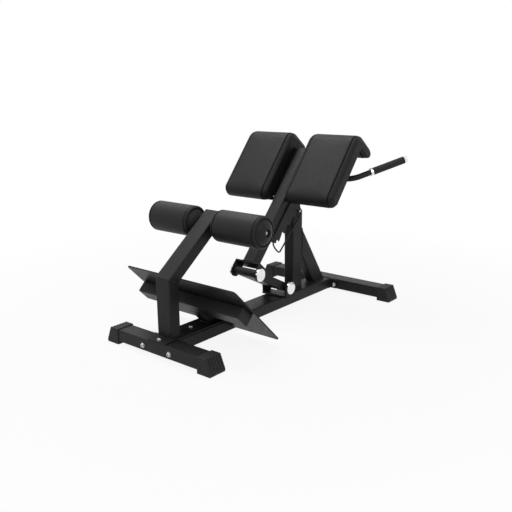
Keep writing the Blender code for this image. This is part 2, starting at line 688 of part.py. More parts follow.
def pivot_pin(name, place, parent):
    """A pin between the outer faces of a bracket's lugs."""
    half = BRACKET_HALF
    body = lathe([(0, -half), (PIVOT_PIN_RADIUS, -half), (PIVOT_PIN_RADIUS, half), (0, half)], 24)
    add(name, body, LOOKS["steel"], place, parent, turn=(math.pi / 2, 0, 0))


def pivot_cap(name, place, side, parent):
    """A chrome cap on the outside of a lug."""
    edge = CHROME_EDGE
    profile = [(0, 0), (PIVOT_CAP_RADIUS - edge, 0), (PIVOT_CAP_RADIUS, edge),
               (PIVOT_CAP_RADIUS, PIVOT_CAP_WIDTH - 2 * edge),
               (PIVOT_CAP_RADIUS - edge, PIVOT_CAP_WIDTH - edge / 2),
               (PIVOT_CAP_RADIUS - 3 * edge, PIVOT_CAP_WIDTH), (0, PIVOT_CAP_WIDTH)]
    seat = place + Vector((0, side * (BRACKET_HALF + GAP), 0))
    add(name, lathe(profile, 30), LOOKS["chrome"], seat, parent, turn=(-side * math.pi / 2, 0, 0))


def swing_link(bench, link, carriage):
    """Lower bracket on the rail, the link with a barrel at each end, pins and chrome caps."""
    pivot_bracket("lower_pivot_bracket", LOW, Vector((0, 0, -1)), bench)
    pivot_pin("lower_pivot_pin", LOW, bench)
    reach = HIGH - LOW
    along = reach.normalized()
    across = Vector((along.z, 0, -along.x))
    half = LINK_DEEP / 2

    def box(start, end, deep, y_half):
        ends = ((start, -deep), (end, -deep), (end, deep), (start, deep))
        corners = [along * s + across * v for s, v in ends]
        return side_prism([Vector((c.x, c.z)) for c in corners], -y_half, y_half)

    arm = add("swing_link", box(0, reach.length, half, LINK_WIDTH / 2), LOOKS["frame"], None, link)
    barrel_half = LUG_INNER - BARREL_SIDE_GAP
    ends = (("lower", Vector((0, 0, 0))), ("upper", reach))
    for end, place in ends:
        barrel = cylinder_along_y(f"link_barrel_{end}", BARREL_RADIUS, barrel_half, place, link, 36)
        combine(arm, barrel, "UNION")
    clear = BARREL_RADIUS + LINK_WALL / 2
    hollow = box(clear, reach.length - clear, half - LINK_WALL, LINK_WIDTH / 2 - LINK_WALL)
    combine(arm, add("link_hollow", hollow, LOOKS["steel"], None, link))
    for end, place in ends:
        combine(arm, cylinder_along_y(f"link_bore_{end}", PIVOT_BORE, BRACKET_HALF, place, link, 24))
    hole(arm, "link_vent", along * (reach.length / 2) + across * half * math.copysign(1, -across.z), across,
         VENT_RADIUS, 3 * LINK_WALL, link)

    pivot_bracket("upper_pivot_bracket", Vector((0, 0, 0)), CARRIAGE_DIR, carriage)
    pivot_pin("upper_pivot_pin", Vector((0, 0, 0)), carriage)
    for side_name, side in SIDES.items():
        pivot_cap(f"lower_pivot_cap_{side_name}", LOW, side, bench)
        pivot_cap(f"upper_pivot_cap_{side_name}", Vector((0, 0, 0)), side, carriage)


def rack_outline():
    """Side view of a rack plate: front edge on the tube, five hooked pockets, hollow rear edge."""
    lap = CARRIAGE_TUBE - CARRIAGE_SETBACK - RACK_LAP
    on_tube = HIGH + CARRIAGE_BACK * lap
    back = HIGH + CARRIAGE_BACK * (CARRIAGE_TUBE - CARRIAGE_SETBACK)
    first = Vector(POCKET_LAST) - Vector(RACK_STEP) * (RACK_POCKETS - 1)
    nose = on_tube + CARRIAGE_DIR * RACK_NOSE
    heel = back + CARRIAGE_DIR * RACK_HEEL
    outline = [Vector((nose.x, nose.z)), Vector((heel.x, heel.z)), first - Vector(RACK_TOE),
               first - Vector((POCKET_RADIUS, RACK_TOE[1]))]
    for k in range(RACK_POCKETS):
        top = first + Vector(RACK_STEP) * k
        round_top = arc(top - Vector((0, POCKET_RADIUS)), POCKET_RADIUS, 180, POCKET_END, 11)
        outline += [Vector(p) for p in round_top]
        outline.append(top + Vector(TIP))
    last = Vector(POCKET_LAST)
    outline += [last + Vector((HOOK_START, -POCKET_RADIUS)), last + Vector((HOOK_END, -POCKET_RADIUS))]
    hollow = arc(last + Vector(RACK_HOLLOW), RACK_HOLLOW_RADIUS, RACK_HOLLOW_START, 180, 5)
    outline += [Vector(p) for p in hollow]
    outline.append(last + Vector(RACK_REAR_TOP))
    head = on_tube + CARRIAGE_DIR * RACK_HEAD
    outline.append(Vector((head.x, head.z)))
    return outline


def racks(carriage):
    """A rack plate on each side of the carriage tube, and the guard rod below the near one."""
    outline = [Vector((p.x - HIGH.x, p.y - HIGH.z)) for p in rack_outline()]
    for side_name, side in SIDES.items():
        body = side_prism(outline, side * RACK_Y, side * (RACK_Y + RACK_PLATE))
        add(f"rack_plate_{side_name}", body, LOOKS["frame"], None, carriage)

    heel, toe = rack_outline()[1:3]
    down = Vector((toe.y - heel.y, heel.x - toe.x)).normalized()
    start = heel.lerp(toe, 0.5) + down * GAP
    end = Vector(POCKET_LAST) + Vector(((HOOK_START + HOOK_END) / 2, -POCKET_RADIUS - GAP))
    route = [start, start + down * 2 * GUARD_RADIUS]
    route += [Vector(p) for p in GUARD_ROUTE]
    route += [end - Vector((0, 2 * GUARD_RADIUS)), end]
    y = -(RACK_Y + GUARD_RADIUS)
    points = [Vector((p.x - HIGH.x, y, p.y - HIGH.z)) for p in smooth_route(route)]
    add("rack_guard_rod", swept(points, GUARD_RADIUS, sides=8), LOOKS["frame"], None, carriage)


def smooth_route(route):
    """Corners of a bent rod, rounded by cutting each one twice."""
    for _ in range(2):
        cut = [route[0]]
        for here, there in zip(route, route[1:]):
            cut += [here.lerp(there, 0.25), here.lerp(there, 0.75)]
        route = cut + [route[-1]]
    return route


def carriage_tube(carriage):
    """The sloping tube that carries the pads, and the cap on its top end."""
    start = CARRIAGE_BACK * CARRIAGE_MID + CARRIAGE_DIR * (BRACKET_REACH + GAP)
    end = CARRIAGE_BACK * CARRIAGE_MID + CARRIAGE_DIR * CARRIAGE_TOP
    tube = box_tube(start, end, CARRIAGE_BACK, CARRIAGE_WIDTH, CARRIAGE_TUBE)
    add("carriage_tube", tube, LOOKS["frame"], None, carriage)
    outer = section(CARRIAGE_WIDTH, CARRIAGE_TUBE, TUBE_CORNER)
    inside = 2 * WALL + 2 * GAP
    plug = section(CARRIAGE_WIDTH - inside, CARRIAGE_TUBE - inside, TUBE_CORNER - WALL)
    add("carriage_tube_end_cap", end_plug(outer, plug, end, CARRIAGE_DIR, CARRIAGE_BACK), LOOKS["plastic"],
        None, carriage)


def pad_outline():
    """Side view of a pad in (along the face, behind the face): a slab with a flap turned back on top."""
    under_flap = PAD_TOP - PAD_FLAP_THICK
    corners = [
        (-PAD_BELOW, 0, PAD_BOTTOM_RADIUS), (PAD_TOP, 0, PAD_TOP_RADIUS),
        (PAD_TOP, PAD_FLAP_REACH, PAD_END_RADIUS), (under_flap, PAD_FLAP_REACH, PAD_END_RADIUS),
        (under_flap, PAD_THICK, PAD_INNER_RADIUS), (-PAD_BELOW, PAD_THICK, PAD_END_RADIUS),
    ]
    outline = rounded(corners, 5)
    filled = []
    for i, point in enumerate(outline):
        following = outline[(i + 1) % len(outline)]
        pieces = max(1, round((following - point).length / PAD_STRIP))
        filled += [point.lerp(following, k / pieces) for k in range(pieces)]
    return filled


def pad_body(side):
    """One cushion: the outline shrinks round its side edges, dips at the seams and swells between."""
    outline = pad_outline()
    half = (PAD_OUTER_Y - PAD_INNER_Y) / 2
    middle = (PAD_OUTER_Y + PAD_INNER_Y) / 2
    stations = [(half - PAD_EDGE_RADIUS * (1 - math.sin(t)), PAD_EDGE_RADIUS * (1 - math.cos(t)))
                for t in (math.radians(a) for a in (90, 60, 30, 0))]
    seam = half - PAD_EDGE_RADIUS - PAD_SEAM_WIDTH / 2
    stations += [(seam, PAD_SEAM_DEPTH), (seam - PAD_SEAM_WIDTH / 2, 0)]
    inside = seam - PAD_SEAM_WIDTH / 2
    stations += [(inside * u, -PAD_CROWN * (1 - u * u)) for u in (0.88, 0.6, 0.3)]
    stations += [(0, -PAD_CROWN)]
    stations += [(-out, depth) for out, depth in reversed(stations[:-1])]
    rings = []
    for out, depth in stations:
        ring = []
        for point in inset(outline, depth):
            run = min(1, max(0, (point.x + PAD_BELOW) / (PAD_TOP + PAD_BELOW)))
            draw = PAD_SIDE_DRAW * math.sin(math.pi * run) * out / half
            along = point.x + pad_corner(point.x, half - abs(out))
            place = PAD_UP * along + PAD_BACK * point.y
            ring.append((place.x, side * (middle + out - draw), place.z))
        rings.append(ring)
    return skin(rings)


def pad_corner(along, from_side):
    """How far the corners at both ends of a pad draw in, near its side edges."""
    moved = 0
    ends = ((PAD_LOW_CORNER, PAD_BOTTOM_RADIUS - PAD_BELOW - along, PAD_BOTTOM_RADIUS),
            (-PAD_TOP_CORNER, along - PAD_TOP + PAD_FLAP_THICK, PAD_FLAP_THICK))
    for corner, inside, reach in ends:
        near = max(0, 1 - from_side / abs(corner))
        share = min(1, max(0, inside / reach))
        moved += corner * share * (1 - math.sqrt(1 - near * near))
    return moved


def pads(carriage):
    """Cushions, their boards, and the steel brackets that hold them to the carriage tube."""
    foot = Vector((PAD_FOOT[0], 0, PAD_FOOT[1])) - HIGH
    turn = (0, math.radians(90 - PAD_ANGLE), 0)
    under_flap = PAD_TOP - PAD_FLAP_THICK
    for side_name, side in SIDES.items():
        add(f"pad_{side_name}", pad_body(side), LOOKS["vinyl"], foot, carriage, smooth=60)

        low = BOARD_MARGIN - PAD_BELOW
        high = under_flap - BOARD_BELOW_FLAP
        inner = side * (PAD_INNER_Y + BOARD_MARGIN)
        outer = side * (PAD_OUTER_Y - BOARD_MARGIN)
        corners = ((inner, low), (outer, low), (outer, high), (inner, high))
        board_at = foot + PAD_BACK * (PAD_THICK + PAD_CROWN + GAP)
        body = upright_plate(rounded([(*corner, BOARD_CORNER) for corner in corners], 4), 0, BOARD)
        add(f"pad_board_{side_name}", body, LOOKS["wood"], board_at, carriage, turn)

        start, end = BRACKET_ENDS
        near = side * RACK_Y
        far = side * BRACKET_OUT
        corners = [(near, start, 0), (far, start, BRACKET_CORNER), (far, end, BRACKET_CORNER), (near, end, 0)]
        bracket_at = board_at + PAD_BACK * (BOARD + GAP)
        body = upright_plate(rounded(corners, 3), 0, PLATE)
        add(f"pad_bracket_{side_name}", body, LOOKS["frame"], bracket_at, carriage, turn)


def handles(carriage):
    """A bar behind the carriage tube, bent back, out and up at both ends, with rings, grips and caps."""
    outward = math.radians(HANDLE_OUTWARD)
    rise = math.radians(HANDLE_RISE)
    back_face = CARRIAGE_TUBE - CARRIAGE_SETBACK
    level = (HANDLE_Z - HIGH.z - CARRIAGE_BACK.z * (back_face + HANDLE_RADIUS + GAP)) / CARRIAGE_DIR.z
    centre = CARRIAGE_BACK * (back_face + HANDLE_RADIUS + GAP) + CARRIAGE_DIR * level
    aim = Vector((math.cos(outward) * math.cos(rise), math.sin(outward) * math.cos(rise), math.sin(rise)))
    first = Vector((0, 1, 0))
    normal = (aim - first * aim.dot(first)).normalized()
    bend = first.angle(aim)
    start = centre + first * HANDLE_BEND_Y
    half = [centre, start]
    steps = 9
    for i in range(1, steps + 1):
        t = bend * i / steps
        half.append(start + (first * math.sin(t) + normal * (1 - math.cos(t))) * HANDLE_BEND_RADIUS)
    grip_start = half[-1] + aim * (HANDLE_TO_RING + RING_WIDTH / 2)
    bar_end = grip_start + aim * GRIP_LENGTH
    half.append(bar_end)
    points = [mirror_y(p, -1) for p in reversed(half)] + half[1:]
    bar = swept(points, HANDLE_RADIUS, HANDLE_RADIUS - HANDLE_WALL, 14)
    add("handle_bar", bar, LOOKS["frame"], None, carriage)

    bore = HANDLE_RADIUS + GAP
    edge = CHROME_EDGE
    for side_name, side in SIDES.items():
        turn = mirror_y(aim, side).to_track_quat("Z", "Y").to_euler()
        at = mirror_y(grip_start, side)
        low = -RING_WIDTH
        ring = [(bore, low), (RING_RADIUS - edge, low), (RING_RADIUS, low + edge), (RING_RADIUS, -edge),
                (RING_RADIUS - edge, 0), (bore, 0)]
        add(f"handle_ring_{side_name}", lathe(ring, 22, ring=True), LOOKS["chrome"], at, carriage, turn)
        grip = [(bore, GAP), (GRIP_RADIUS, GAP), (GRIP_RADIUS, GRIP_LENGTH), (bore, GRIP_LENGTH)]
        add(f"handle_grip_{side_name}", lathe(grip, 22, ring=True), LOOKS["rubber"], at, carriage, turn)
        top = GRIP_LENGTH + GAP
        plug = HANDLE_RADIUS - HANDLE_WALL - GAP
        cap = [(0, top - GRIP_CAP), (plug, top - GRIP_CAP), (plug, top), (GRIP_RADIUS, top),
               (GRIP_RADIUS, top + GRIP_CAP - 2 * edge), (GRIP_RADIUS - edge, top + GRIP_CAP - edge / 2),
               (GRIP_RADIUS - 3 * edge, top + GRIP_CAP), (0, top + GRIP_CAP)]
        add(f"handle_cap_{side_name}", lathe(cap, 22), LOOKS["chrome"], at, carriage, turn)


clear_scene()
LOOKS = {
    "frame": material("black_powder_coat", (0.022, 0.022, 0.024), 0.42, 0.1),
    "vinyl": material("black_vinyl", (0.030, 0.030, 0.032), 0.5),
    "rubber": material("black_rubber", (0.018, 0.018, 0.018), 0.7),
    "plastic": material("black_plastic", (0.020, 0.020, 0.020), 0.5),
    "chrome": material("chrome", (0.75, 0.75, 0.76), 0.12, 1.0),
    "steel": material("bare_steel", (0.35, 0.35, 0.36), 0.35, 1.0),
    "wood": material("board", (0.10, 0.085, 0.07), 0.8),
}
BENCH = empty("bench", (-CENTRE_X, 0, 0))
LINK = empty("link_axis", LOW, BENCH)
CARRIAGE = empty("carriage_axis", HIGH, BENCH)
FRONT_TUBE, RAIL = floor_frame(BENCH)
post_and_arm(BENCH, FRONT_TUBE, RAIL)
foot_rest(BENCH)
heel_rollers(BENCH)
upright_and_brace(BENCH)
swing_link(BENCH, LINK, CARRIAGE)
carriage_tube(CARRIAGE)
racks(CARRIAGE)
pads(CARRIAGE)
handles(CARRIAGE)
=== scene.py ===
"""Looks for the hyperextension bench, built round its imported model.

Metres, +Z up, +X from the foot end towards the pads, in the row frame. Most nodes keep their solids
and get detailed materials. The cushions and foam rollers are replaced by ones that cloth simulation
has swollen, the frame's bolts by ones with sockets, and the pivot caps by dished ones. Nuts and
washers, the bolts on the axle and on the pad brackets, and weld beads are added.
"""
import json
import math

import bmesh
import bpy
import numpy as np
from mathutils import Matrix, Vector
from mathutils.bvhtree import BVHTree


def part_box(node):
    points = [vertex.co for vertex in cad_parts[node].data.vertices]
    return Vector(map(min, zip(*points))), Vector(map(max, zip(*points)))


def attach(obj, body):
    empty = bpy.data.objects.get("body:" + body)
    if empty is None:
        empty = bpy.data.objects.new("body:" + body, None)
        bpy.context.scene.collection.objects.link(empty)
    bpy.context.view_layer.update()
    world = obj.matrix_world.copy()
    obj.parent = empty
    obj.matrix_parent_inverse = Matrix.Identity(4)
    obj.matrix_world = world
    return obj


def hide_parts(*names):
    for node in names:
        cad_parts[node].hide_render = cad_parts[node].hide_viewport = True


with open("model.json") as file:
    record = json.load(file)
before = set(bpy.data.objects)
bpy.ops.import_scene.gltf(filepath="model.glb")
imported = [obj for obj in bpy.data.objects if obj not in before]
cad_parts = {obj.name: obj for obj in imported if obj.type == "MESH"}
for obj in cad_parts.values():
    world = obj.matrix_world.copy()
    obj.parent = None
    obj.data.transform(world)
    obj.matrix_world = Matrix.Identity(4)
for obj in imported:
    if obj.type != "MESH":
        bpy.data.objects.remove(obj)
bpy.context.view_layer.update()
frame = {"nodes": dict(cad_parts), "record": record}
NODES = frame["nodes"]
SIDES = {"left": 1, "right": -1}


def slope(angle):
    """The direction up a slope that rises towards +X at an angle in degrees."""
    return Vector((math.cos(math.radians(angle)), 0, math.sin(math.radians(angle))))


# The photograph's camera
PHOTO_SIZE = 512
FOCAL_PIXELS = 650.64
CAMERA_PLACE = (-2.1208, -1.7567, 0.9957)
CAMERA_AZIMUTH = 39.611
CAMERA_DOWN = 14.635
CAMERA_ROLL = -0.516

# Lamps: place, size and power; all are aimed at one point
LAMPS = {
    "key": ((0.1, 0.9, 3.0), 1.9, 56),
    "side": ((-0.7, -2.2, 2.1), 1.4, 15),
    "fill": ((-2.1, 0.5, 1.9), 1.8, 11),
}
LAMP_AIM = (0, 0, 0.35)
WORLD_STRENGTH = 0.24

# Floor: how much of it glows where it is seen, and the distances over which it fades out
FLOOR_REACH = 6.0
FLOOR_SHADE = 0.78
FLOOR_GLOW = 0.90
FLOOR_FADE = (0.9, 2.0)

# Places repeated from the part's source, in the row frame
CENTRE_X = 0.5985
ARM_ANGLE = 37.5
CARRIAGE_ANGLE = 48.2
CARRIAGE_UP = slope(CARRIAGE_ANGLE)

# Mean shade of the vinyl on the pads and on the rollers
PAD_SHADE = 0.0115
ROLLER_SHADE = 0.0200

# Pads in side view: up along the face from its foot, and back behind it
PAD_FOOT = Vector((0.7165 - CENTRE_X, 0, 0.5307))
PAD_ANGLE = 50.4
PAD_UP = slope(PAD_ANGLE)
PAD_BACK = Vector((PAD_UP.z, 0, -PAD_UP.x))
PAD_THICK = 0.062
PAD_BELOW = 0.006
PAD_TOP = 0.3575
PAD_FLAP_REACH = 0.150
PAD_FLAP_THICK = 0.050
PAD_UNDER_FLAP = PAD_TOP - PAD_FLAP_THICK
PAD_TOP_RADIUS = 0.052
PAD_BOTTOM_RADIUS = 0.034
PAD_END_RADIUS = 0.022
PAD_INNER_RADIUS = 0.008
PAD_STEP = 0.0045

# Pads across the bench; the stations stand on the face, as shares of the seam's distance
PAD_INNER_Y = 0.054
PAD_OUTER_Y = 0.298
PAD_HALF = (PAD_OUTER_Y - PAD_INNER_Y) / 2
PAD_MIDDLE_Y = (PAD_OUTER_Y + PAD_INNER_Y) / 2
PAD_STATIONS = (0.90, 0.82, 0.72, 0.60, 0.48, 0.36, 0.24, 0.12)
PAD_LOW_CORNER = 0.016
PAD_TOP_CORNER = 0.010

# Side panels of the pads, and the shares of their rounding at the board and at the flap's end
PAD_SIDE_STEPS = 20
PAD_SIDE_INSET = 0.0200
PAD_SIDE_BULGE = 0.0040
PAD_SIDE_FULLNESS = 2.6
PAD_BACK_SHARE = 0.30
PAD_FLAP_SHARE = 0.45

# The seam round each side panel
PAD_SEAM_IN = 0.0172
PAD_SEAM = PAD_HALF - PAD_SEAM_IN
PAD_SEAM_HALF = 0.0023
PAD_SEAM_DEPTH = 0.0056
PAD_SEAM_BAND = PAD_SEAM_HALF * 1.4

# Heel rollers: a straight side, a rounded shoulder, and a domed end that runs into the bore
ROLLER_RADIUS = 0.0632
ROLLER_INNER_Y = 0.0490
ROLLER_OUTER_Y = 0.3030
ROLLER_SHOULDER = 0.009
ROLLER_DOME = 0.017
ROLLER_LIP = 0.002
ROLLER_BORE = 0.0134
ROLLER_BORE_DEPTH = 0.040
ROLLER_HALF = (ROLLER_OUTER_Y - ROLLER_INNER_Y) / 2
ROLLER_END = ROLLER_HALF - ROLLER_DOME
ROLLER_END_RADIUS = ROLLER_RADIUS - ROLLER_SHOULDER
ROLLER_STRAIGHT = ROLLER_END - ROLLER_SHOULDER
ROLLER_STATIONS = (0, 0.15, 0.3, 0.45, 0.6, 0.72, 0.82, 0.9)
ROLLER_SHOULDER_STEPS = 8
ROLLER_DOME_STEPS = 10
ROLLER_SIDES = 96

# The two seams at each end of a roller: on its side, and on its end
ROLLER_SEAM_HALF = 0.0022
ROLLER_SEAM_DEPTH = 0.0042
ROLLER_SIDE_SEAM = ROLLER_STRAIGHT - ROLLER_SEAM_HALF
ROLLER_END_SEAM = ROLLER_END_RADIUS - ROLLER_SEAM_HALF

# Where rings stand across a seam, in half widths from its middle
SEAM_STEPS = (-2, -1.5, -1, -0.5, 0, 0.5, 1, 1.5, 2)

# Cloth: the simulated forms, where they are held, and how far they may swell
VOXEL = 0.005
HELD_BAND = VOXEL * 0.8
CARRY_BLUR = VOXEL / 20
PRESSURE = 4.0
CLOTH_FRAMES = 20
CLOTH_QUALITY = 5
SWELL_SMOOTHING = 3
PAD_SHRINK = 0.001
PAD_CAP = 0.005
ROLLER_CAP = 0.003

# Fasteners; a washer's radii are shares of its bolt head's radius
BOLT_HEAD = 0.006
BOLT_HEAD_RADIUS = 0.0085
BOLT_DOME_STEPS = 6
SOCKET_MIDDLE = 0.0002
AXLE_BOLT_RADIUS = 0.0054
AXLE_RECESS = 0.010
BRACKET_BOLT_RADIUS = 0.0046
BRACKET_BOLT_Y = 0.0500
BRACKET_BOLT_ALONG = 0.0316
BRACKET_FRONT = 0.0716
WASHER = 0.0014
WASHER_OUTER = 1.22
WASHER_INNER = 0.6
TURNED_SIDES = 48

# Pivot caps: the rim as a share of the cap's width
PIVOT_CAP_RIM = 0.22
PIVOT_CAP_STEPS = 5
PIVOT_CAP_MIDDLE = 0.0003
PIVOT_CAP_SIDES = 72

# Weld beads: ripples of a few points each, with a slower wave over them
WELD_RADIUS = 0.0026
WELD_STEP = 0.0012
WELD_SIDES = 8
WELD_RIPPLE = 2.6
WELD_RIPPLE_DEPTH = 0.10
WELD_WAVE = 0.37
WELD_WAVE_DEPTH = 0.05
END_TOLERANCE = 0.0002
TURN_TOLERANCE = 1e-10

# Angles in degrees above which an edge stays sharp
SHARP_ANGLE = 35
SOFT_SHARP_ANGLE = 80
TURNED_SHARP_ANGLE = 30
WELD_SHARP_ANGLE = 70


def object_from(name, bm, look, sharp=SHARP_ANGLE):
    """An object from a finished bmesh, smooth apart from edges above the sharp angle."""
    bmesh.ops.recalc_face_normals(bm, faces=bm.faces)
    mesh = bpy.data.meshes.new(name)
    bm.to_mesh(mesh)
    bm.free()
    mesh.shade_smooth()
    mesh.set_sharp_from_angle(angle=math.radians(sharp))
    mesh.materials.append(look)
    made = bpy.data.objects.new(name, mesh)
    bpy.context.scene.collection.objects.link(made)
    return made


class Look:
    """A Principled material in object coordinates, with helpers that add procedural detail."""

    def __init__(self, name, roughness, metallic=0.0, specular=0.5):
        self.material = bpy.data.materials.new(name)
        self.material.use_nodes = True
        self.tree = self.material.node_tree
        self.shader = self.tree.nodes["Principled BSDF"]
        self.shader.inputs["Roughness"].default_value = roughness
        self.shader.inputs["Metallic"].default_value = metallic
        self.shader.inputs["Specular IOR Level"].default_value = specular
        self.place = self.add("ShaderNodeTexCoord").outputs["Object"]

    def add(self, kind, **settings):
        """A new node with its settings."""
        node = self.tree.nodes.new(kind)
        for name, value in settings.items():
            setattr(node, name, value)
        return node

    def link(self, source, target):
        """Links an output to an input."""
        self.tree.links.new(source, target)

    def stretched(self, stretch):
        """Object coordinates scaled along each axis."""
        mapping = self.add("ShaderNodeMapping")
        mapping.inputs["Scale"].default_value = stretch
        self.link(self.place, mapping.inputs["Vector"])
        return mapping.outputs["Vector"]

    def noise(self, scale, detail=2.0, stretch=None):
        """Noise over the object, which may be scaled along each axis."""
        node = self.add("ShaderNodeTexNoise")
        node.inputs["Scale"].default_value = scale
        node.inputs["Detail"].default_value = detail
        self.link(self.stretched(stretch) if stretch else self.place, node.inputs["Vector"])
        return node.outputs["Fac"]

    def cells(self, scale):
        """Distance from the middles of scattered cells."""
        node = self.add("ShaderNodeTexVoronoi")
        node.inputs["Scale"].default_value = scale
        self.link(self.place, node.inputs["Vector"])
        return node.outputs["Distance"]

    def spread(self, value, low, high, start=0.3, end=0.7):
        """The value from start to end, spread over low to high."""
        node = self.add("ShaderNodeMapRange")
        node.inputs["From Min"].default_value = start
        node.inputs["From Max"].default_value = end
        node.inputs["To Min"].default_value = low
        node.inputs["To Max"].default_value = high
        self.link(value, node.inputs["Value"])
        return node.outputs["Result"]

    def colours(self, value, *stops):
        """Base colour from a ramp of (position, colour) stops."""
        ramp = self.add("ShaderNodeValToRGB")
        elements = ramp.color_ramp.elements
        while len(elements) < len(stops):
            elements.new(0.5)
        for element, (position, colour) in zip(elements, stops):
            element.position = position
            element.color = (*colour, 1)
        self.link(value, ramp.inputs["Fac"])
        self.link(ramp.outputs["Color"], self.shader.inputs["Base Color"])
        return self

    def rough(self, value, low, high):
        """Roughness from low to high, as the value says."""
        self.link(self.spread(value, low, high), self.shader.inputs["Roughness"])
        return self

    def bump(self, value, distance, strength=1.0):
        """Raises the surface by a distance, on top of the bumps that are there."""
        node = self.add("ShaderNodeBump")
        node.inputs["Strength"].default_value = strength
        node.inputs["Distance"].default_value = distance
        self.link(value, node.inputs["Height"])
        normal = self.shader.inputs["Normal"]
        if normal.links:
            self.link(normal.links[0].from_socket, node.inputs["Normal"])
        self.link(node.outputs["Normal"], normal)
        return self


def powder_coat():
    """Black powder coat: satin, with fine orange peel and slow changes of shade."""
    look = Look("black_powder_coat", 0.42, specular=0.14)
    dark = (0.0175, 0.0175, 0.0182)
    light = (0.0225, 0.0225, 0.0235)
    look.colours(look.noise(9, 3), (0.30, dark), (0.72, light))
    look.rough(look.noise(60, 4), 0.36, 0.48)
    look.bump(look.noise(700, 2), 0.00010)
    look.bump(look.noise(2600, 1), 0.00003)
    return look.material


def vinyl(name, shade):
    """Black upholstery vinyl of a mean shade, with a fine pebbled grain."""
    look = Look(name, 0.5, specular=0.16)
    dark = (shade * 0.88, shade * 0.88, shade * 0.91)
    light = (shade * 1.12, shade * 1.12, shade * 1.16)
    look.colours(look.noise(14, 3), (0.28, dark), (0.74, light))
    look.rough(look.noise(90, 4), 0.44, 0.56)
    look.bump(look.cells(950), 0.00022, 0.8)
    look.bump(look.noise(380, 4), 0.00012, 0.6)
    return look.material


def seam():
    """The fold of a seam with its thread, coloured darker than the vinyl as painted shade in its
    groove.
    """
    look = Look("seam_painted_shade", 0.6, specular=0.12)
    # Painted shade: the groove's faces are much darker than the vinyl round them, with noise for
    # the thread
    dark = (0.0035, 0.0035, 0.0036)
    light = (0.0090, 0.0090, 0.0093)
    look.colours(look.noise(900, 2), (0.35, dark), (0.65, light))
    look.rough(look.noise(300, 3), 0.54, 0.70)
    look.bump(look.noise(520, 1), 0.00020)
    return look.material


def rubber():
    """Moulded rubber, matte and a little dusty."""
    look = Look("black_rubber", 0.7, specular=0.30)
    dark = (0.0100, 0.0100, 0.0104)
    light = (0.0165, 0.0165, 0.0170)
    look.colours(look.noise(30, 5), (0.30, dark), (0.75, light))
    look.rough(look.noise(120, 3), 0.58, 0.76)
    look.bump(look.noise(1500, 3), 0.00006)
    return look.material


def plastic():
    """Moulded plastic with a fine spark-eroded texture."""
    look = Look("black_plastic", 0.5, specular=0.20)
    dark = (0.0120, 0.0120, 0.0125)
    light = (0.0165, 0.0165, 0.0170)
    look.colours(look.noise(40, 3), (0.3, dark), (0.7, light))
    look.rough(look.noise(200, 2), 0.42, 0.54)
    look.bump(look.cells(1900), 0.00007)
    return look.material


def chrome():
    """Polished chrome plate with faint hairlines."""
    look = Look("chrome_plate", 0.08, metallic=1.0)
    dark = (0.78, 0.78, 0.79)
    light = (0.86, 0.86, 0.87)
    look.colours(look.noise(60, 3), (0.3, dark), (0.7, light))
    look.rough(look.noise(500, 4, (1, 6, 6)), 0.05, 0.14)
    look.bump(look.noise(900, 3, (1, 8, 8)), 0.00001)
    return look.material


def bolt_zinc():
    """Bright zinc plate, a little clouded."""
    look = Look("bright_zinc", 0.24, metallic=1.0)
    dark = (0.40, 0.40, 0.41)
    light = (0.55, 0.55, 0.56)
    look.colours(look.noise(240, 3), (0.3, dark), (0.7, light))
    look.rough(look.noise(700, 4), 0.18, 0.32)
    look.bump(look.noise(1500, 3), 0.00001)
    return look.material


def turned_steel():
    """Turned bright steel, with fine rings along the bench's width."""
    look = Look("turned_steel", 0.3, metallic=1.0)
    dark = (0.36, 0.36, 0.37)
    light = (0.47, 0.47, 0.48)
    look.colours(look.noise(80, 4), (0.3, dark), (0.7, light))
    look.rough(look.noise(120, 4, (1, 30, 1)), 0.22, 0.38)
    look.bump(look.noise(160, 2, (1, 40, 1)), 0.00003)
    return look.material


def board():
    """Black stained plywood, with long grain across the bench."""
    look = Look("stained_plywood", 0.75, specular=0.3)
    dark = (0.0170, 0.0150, 0.0130)
    light = (0.0400, 0.0350, 0.0290)
    look.colours(look.noise(60, 6, (4, 0.3, 4)), (0.30, dark), (0.72, light))
    look.rough(look.noise(200, 4, (4, 0.5, 4)), 0.62, 0.85)
    look.bump(look.noise(110, 5, (5, 0.3, 5)), 0.00025)
    return look.material


def rounded(corners, steps=8):
    """A flat outline through (a, b, radius) corners."""
    outline = []
    for i, (a, b, radius) in enumerate(corners):
        here = Vector((a, b))
        before = (Vector(corners[i - 1][:2]) - here).normalized()
        after = (Vector(corners[(i + 1) % len(corners)][:2]) - here).normalized()
        half = before.angle(after) / 2
        centre = here + (before + after).normalized() * (radius / math.sin(half))
        start = here + before * (radius / math.tan(half)) - centre
        end = here + after * (radius / math.tan(half)) - centre
        first = math.atan2(start.y, start.x)
        sweep = math.remainder(math.atan2(end.y, end.x) - first, math.tau)
        for step in range(steps + 1):
            angle = first + sweep * step / steps
            outline.append(centre + Vector((math.cos(angle), math.sin(angle))) * radius)
    return outline


def filled(outline, step):
    """The closed outline with points no further apart than a step."""
    points = []
    for i, point in enumerate(outline):
        following = outline[(i + 1) % len(outline)]
        pieces = max(1, math.ceil((following - point).length / step))
        points += [point.lerp(following, k / pieces) for k in range(pieces)]
    return points


def inset(outline, amounts):
    """The outline moved inward, each point by its own amount, or up to twice that in a corner."""
    doubled_area = sum(p.x * q.y - q.x * p.y for p, q in zip(outline, outline[1:] + outline[:1]))
    inward = 1 if doubled_area > 0 else -1
    moved = []
    for i, point in enumerate(outline):
        before = point - outline[i - 1]
        after = outline[(i + 1) % len(outline)] - point
        along = (before.normalized() + after.normalized()).normalized()
        normal = Vector((-along.y, along.x)) * inward
        moved.append(point + normal * (amounts[i] / max(0.5, along.dot(before.normalized()))))
    return moved


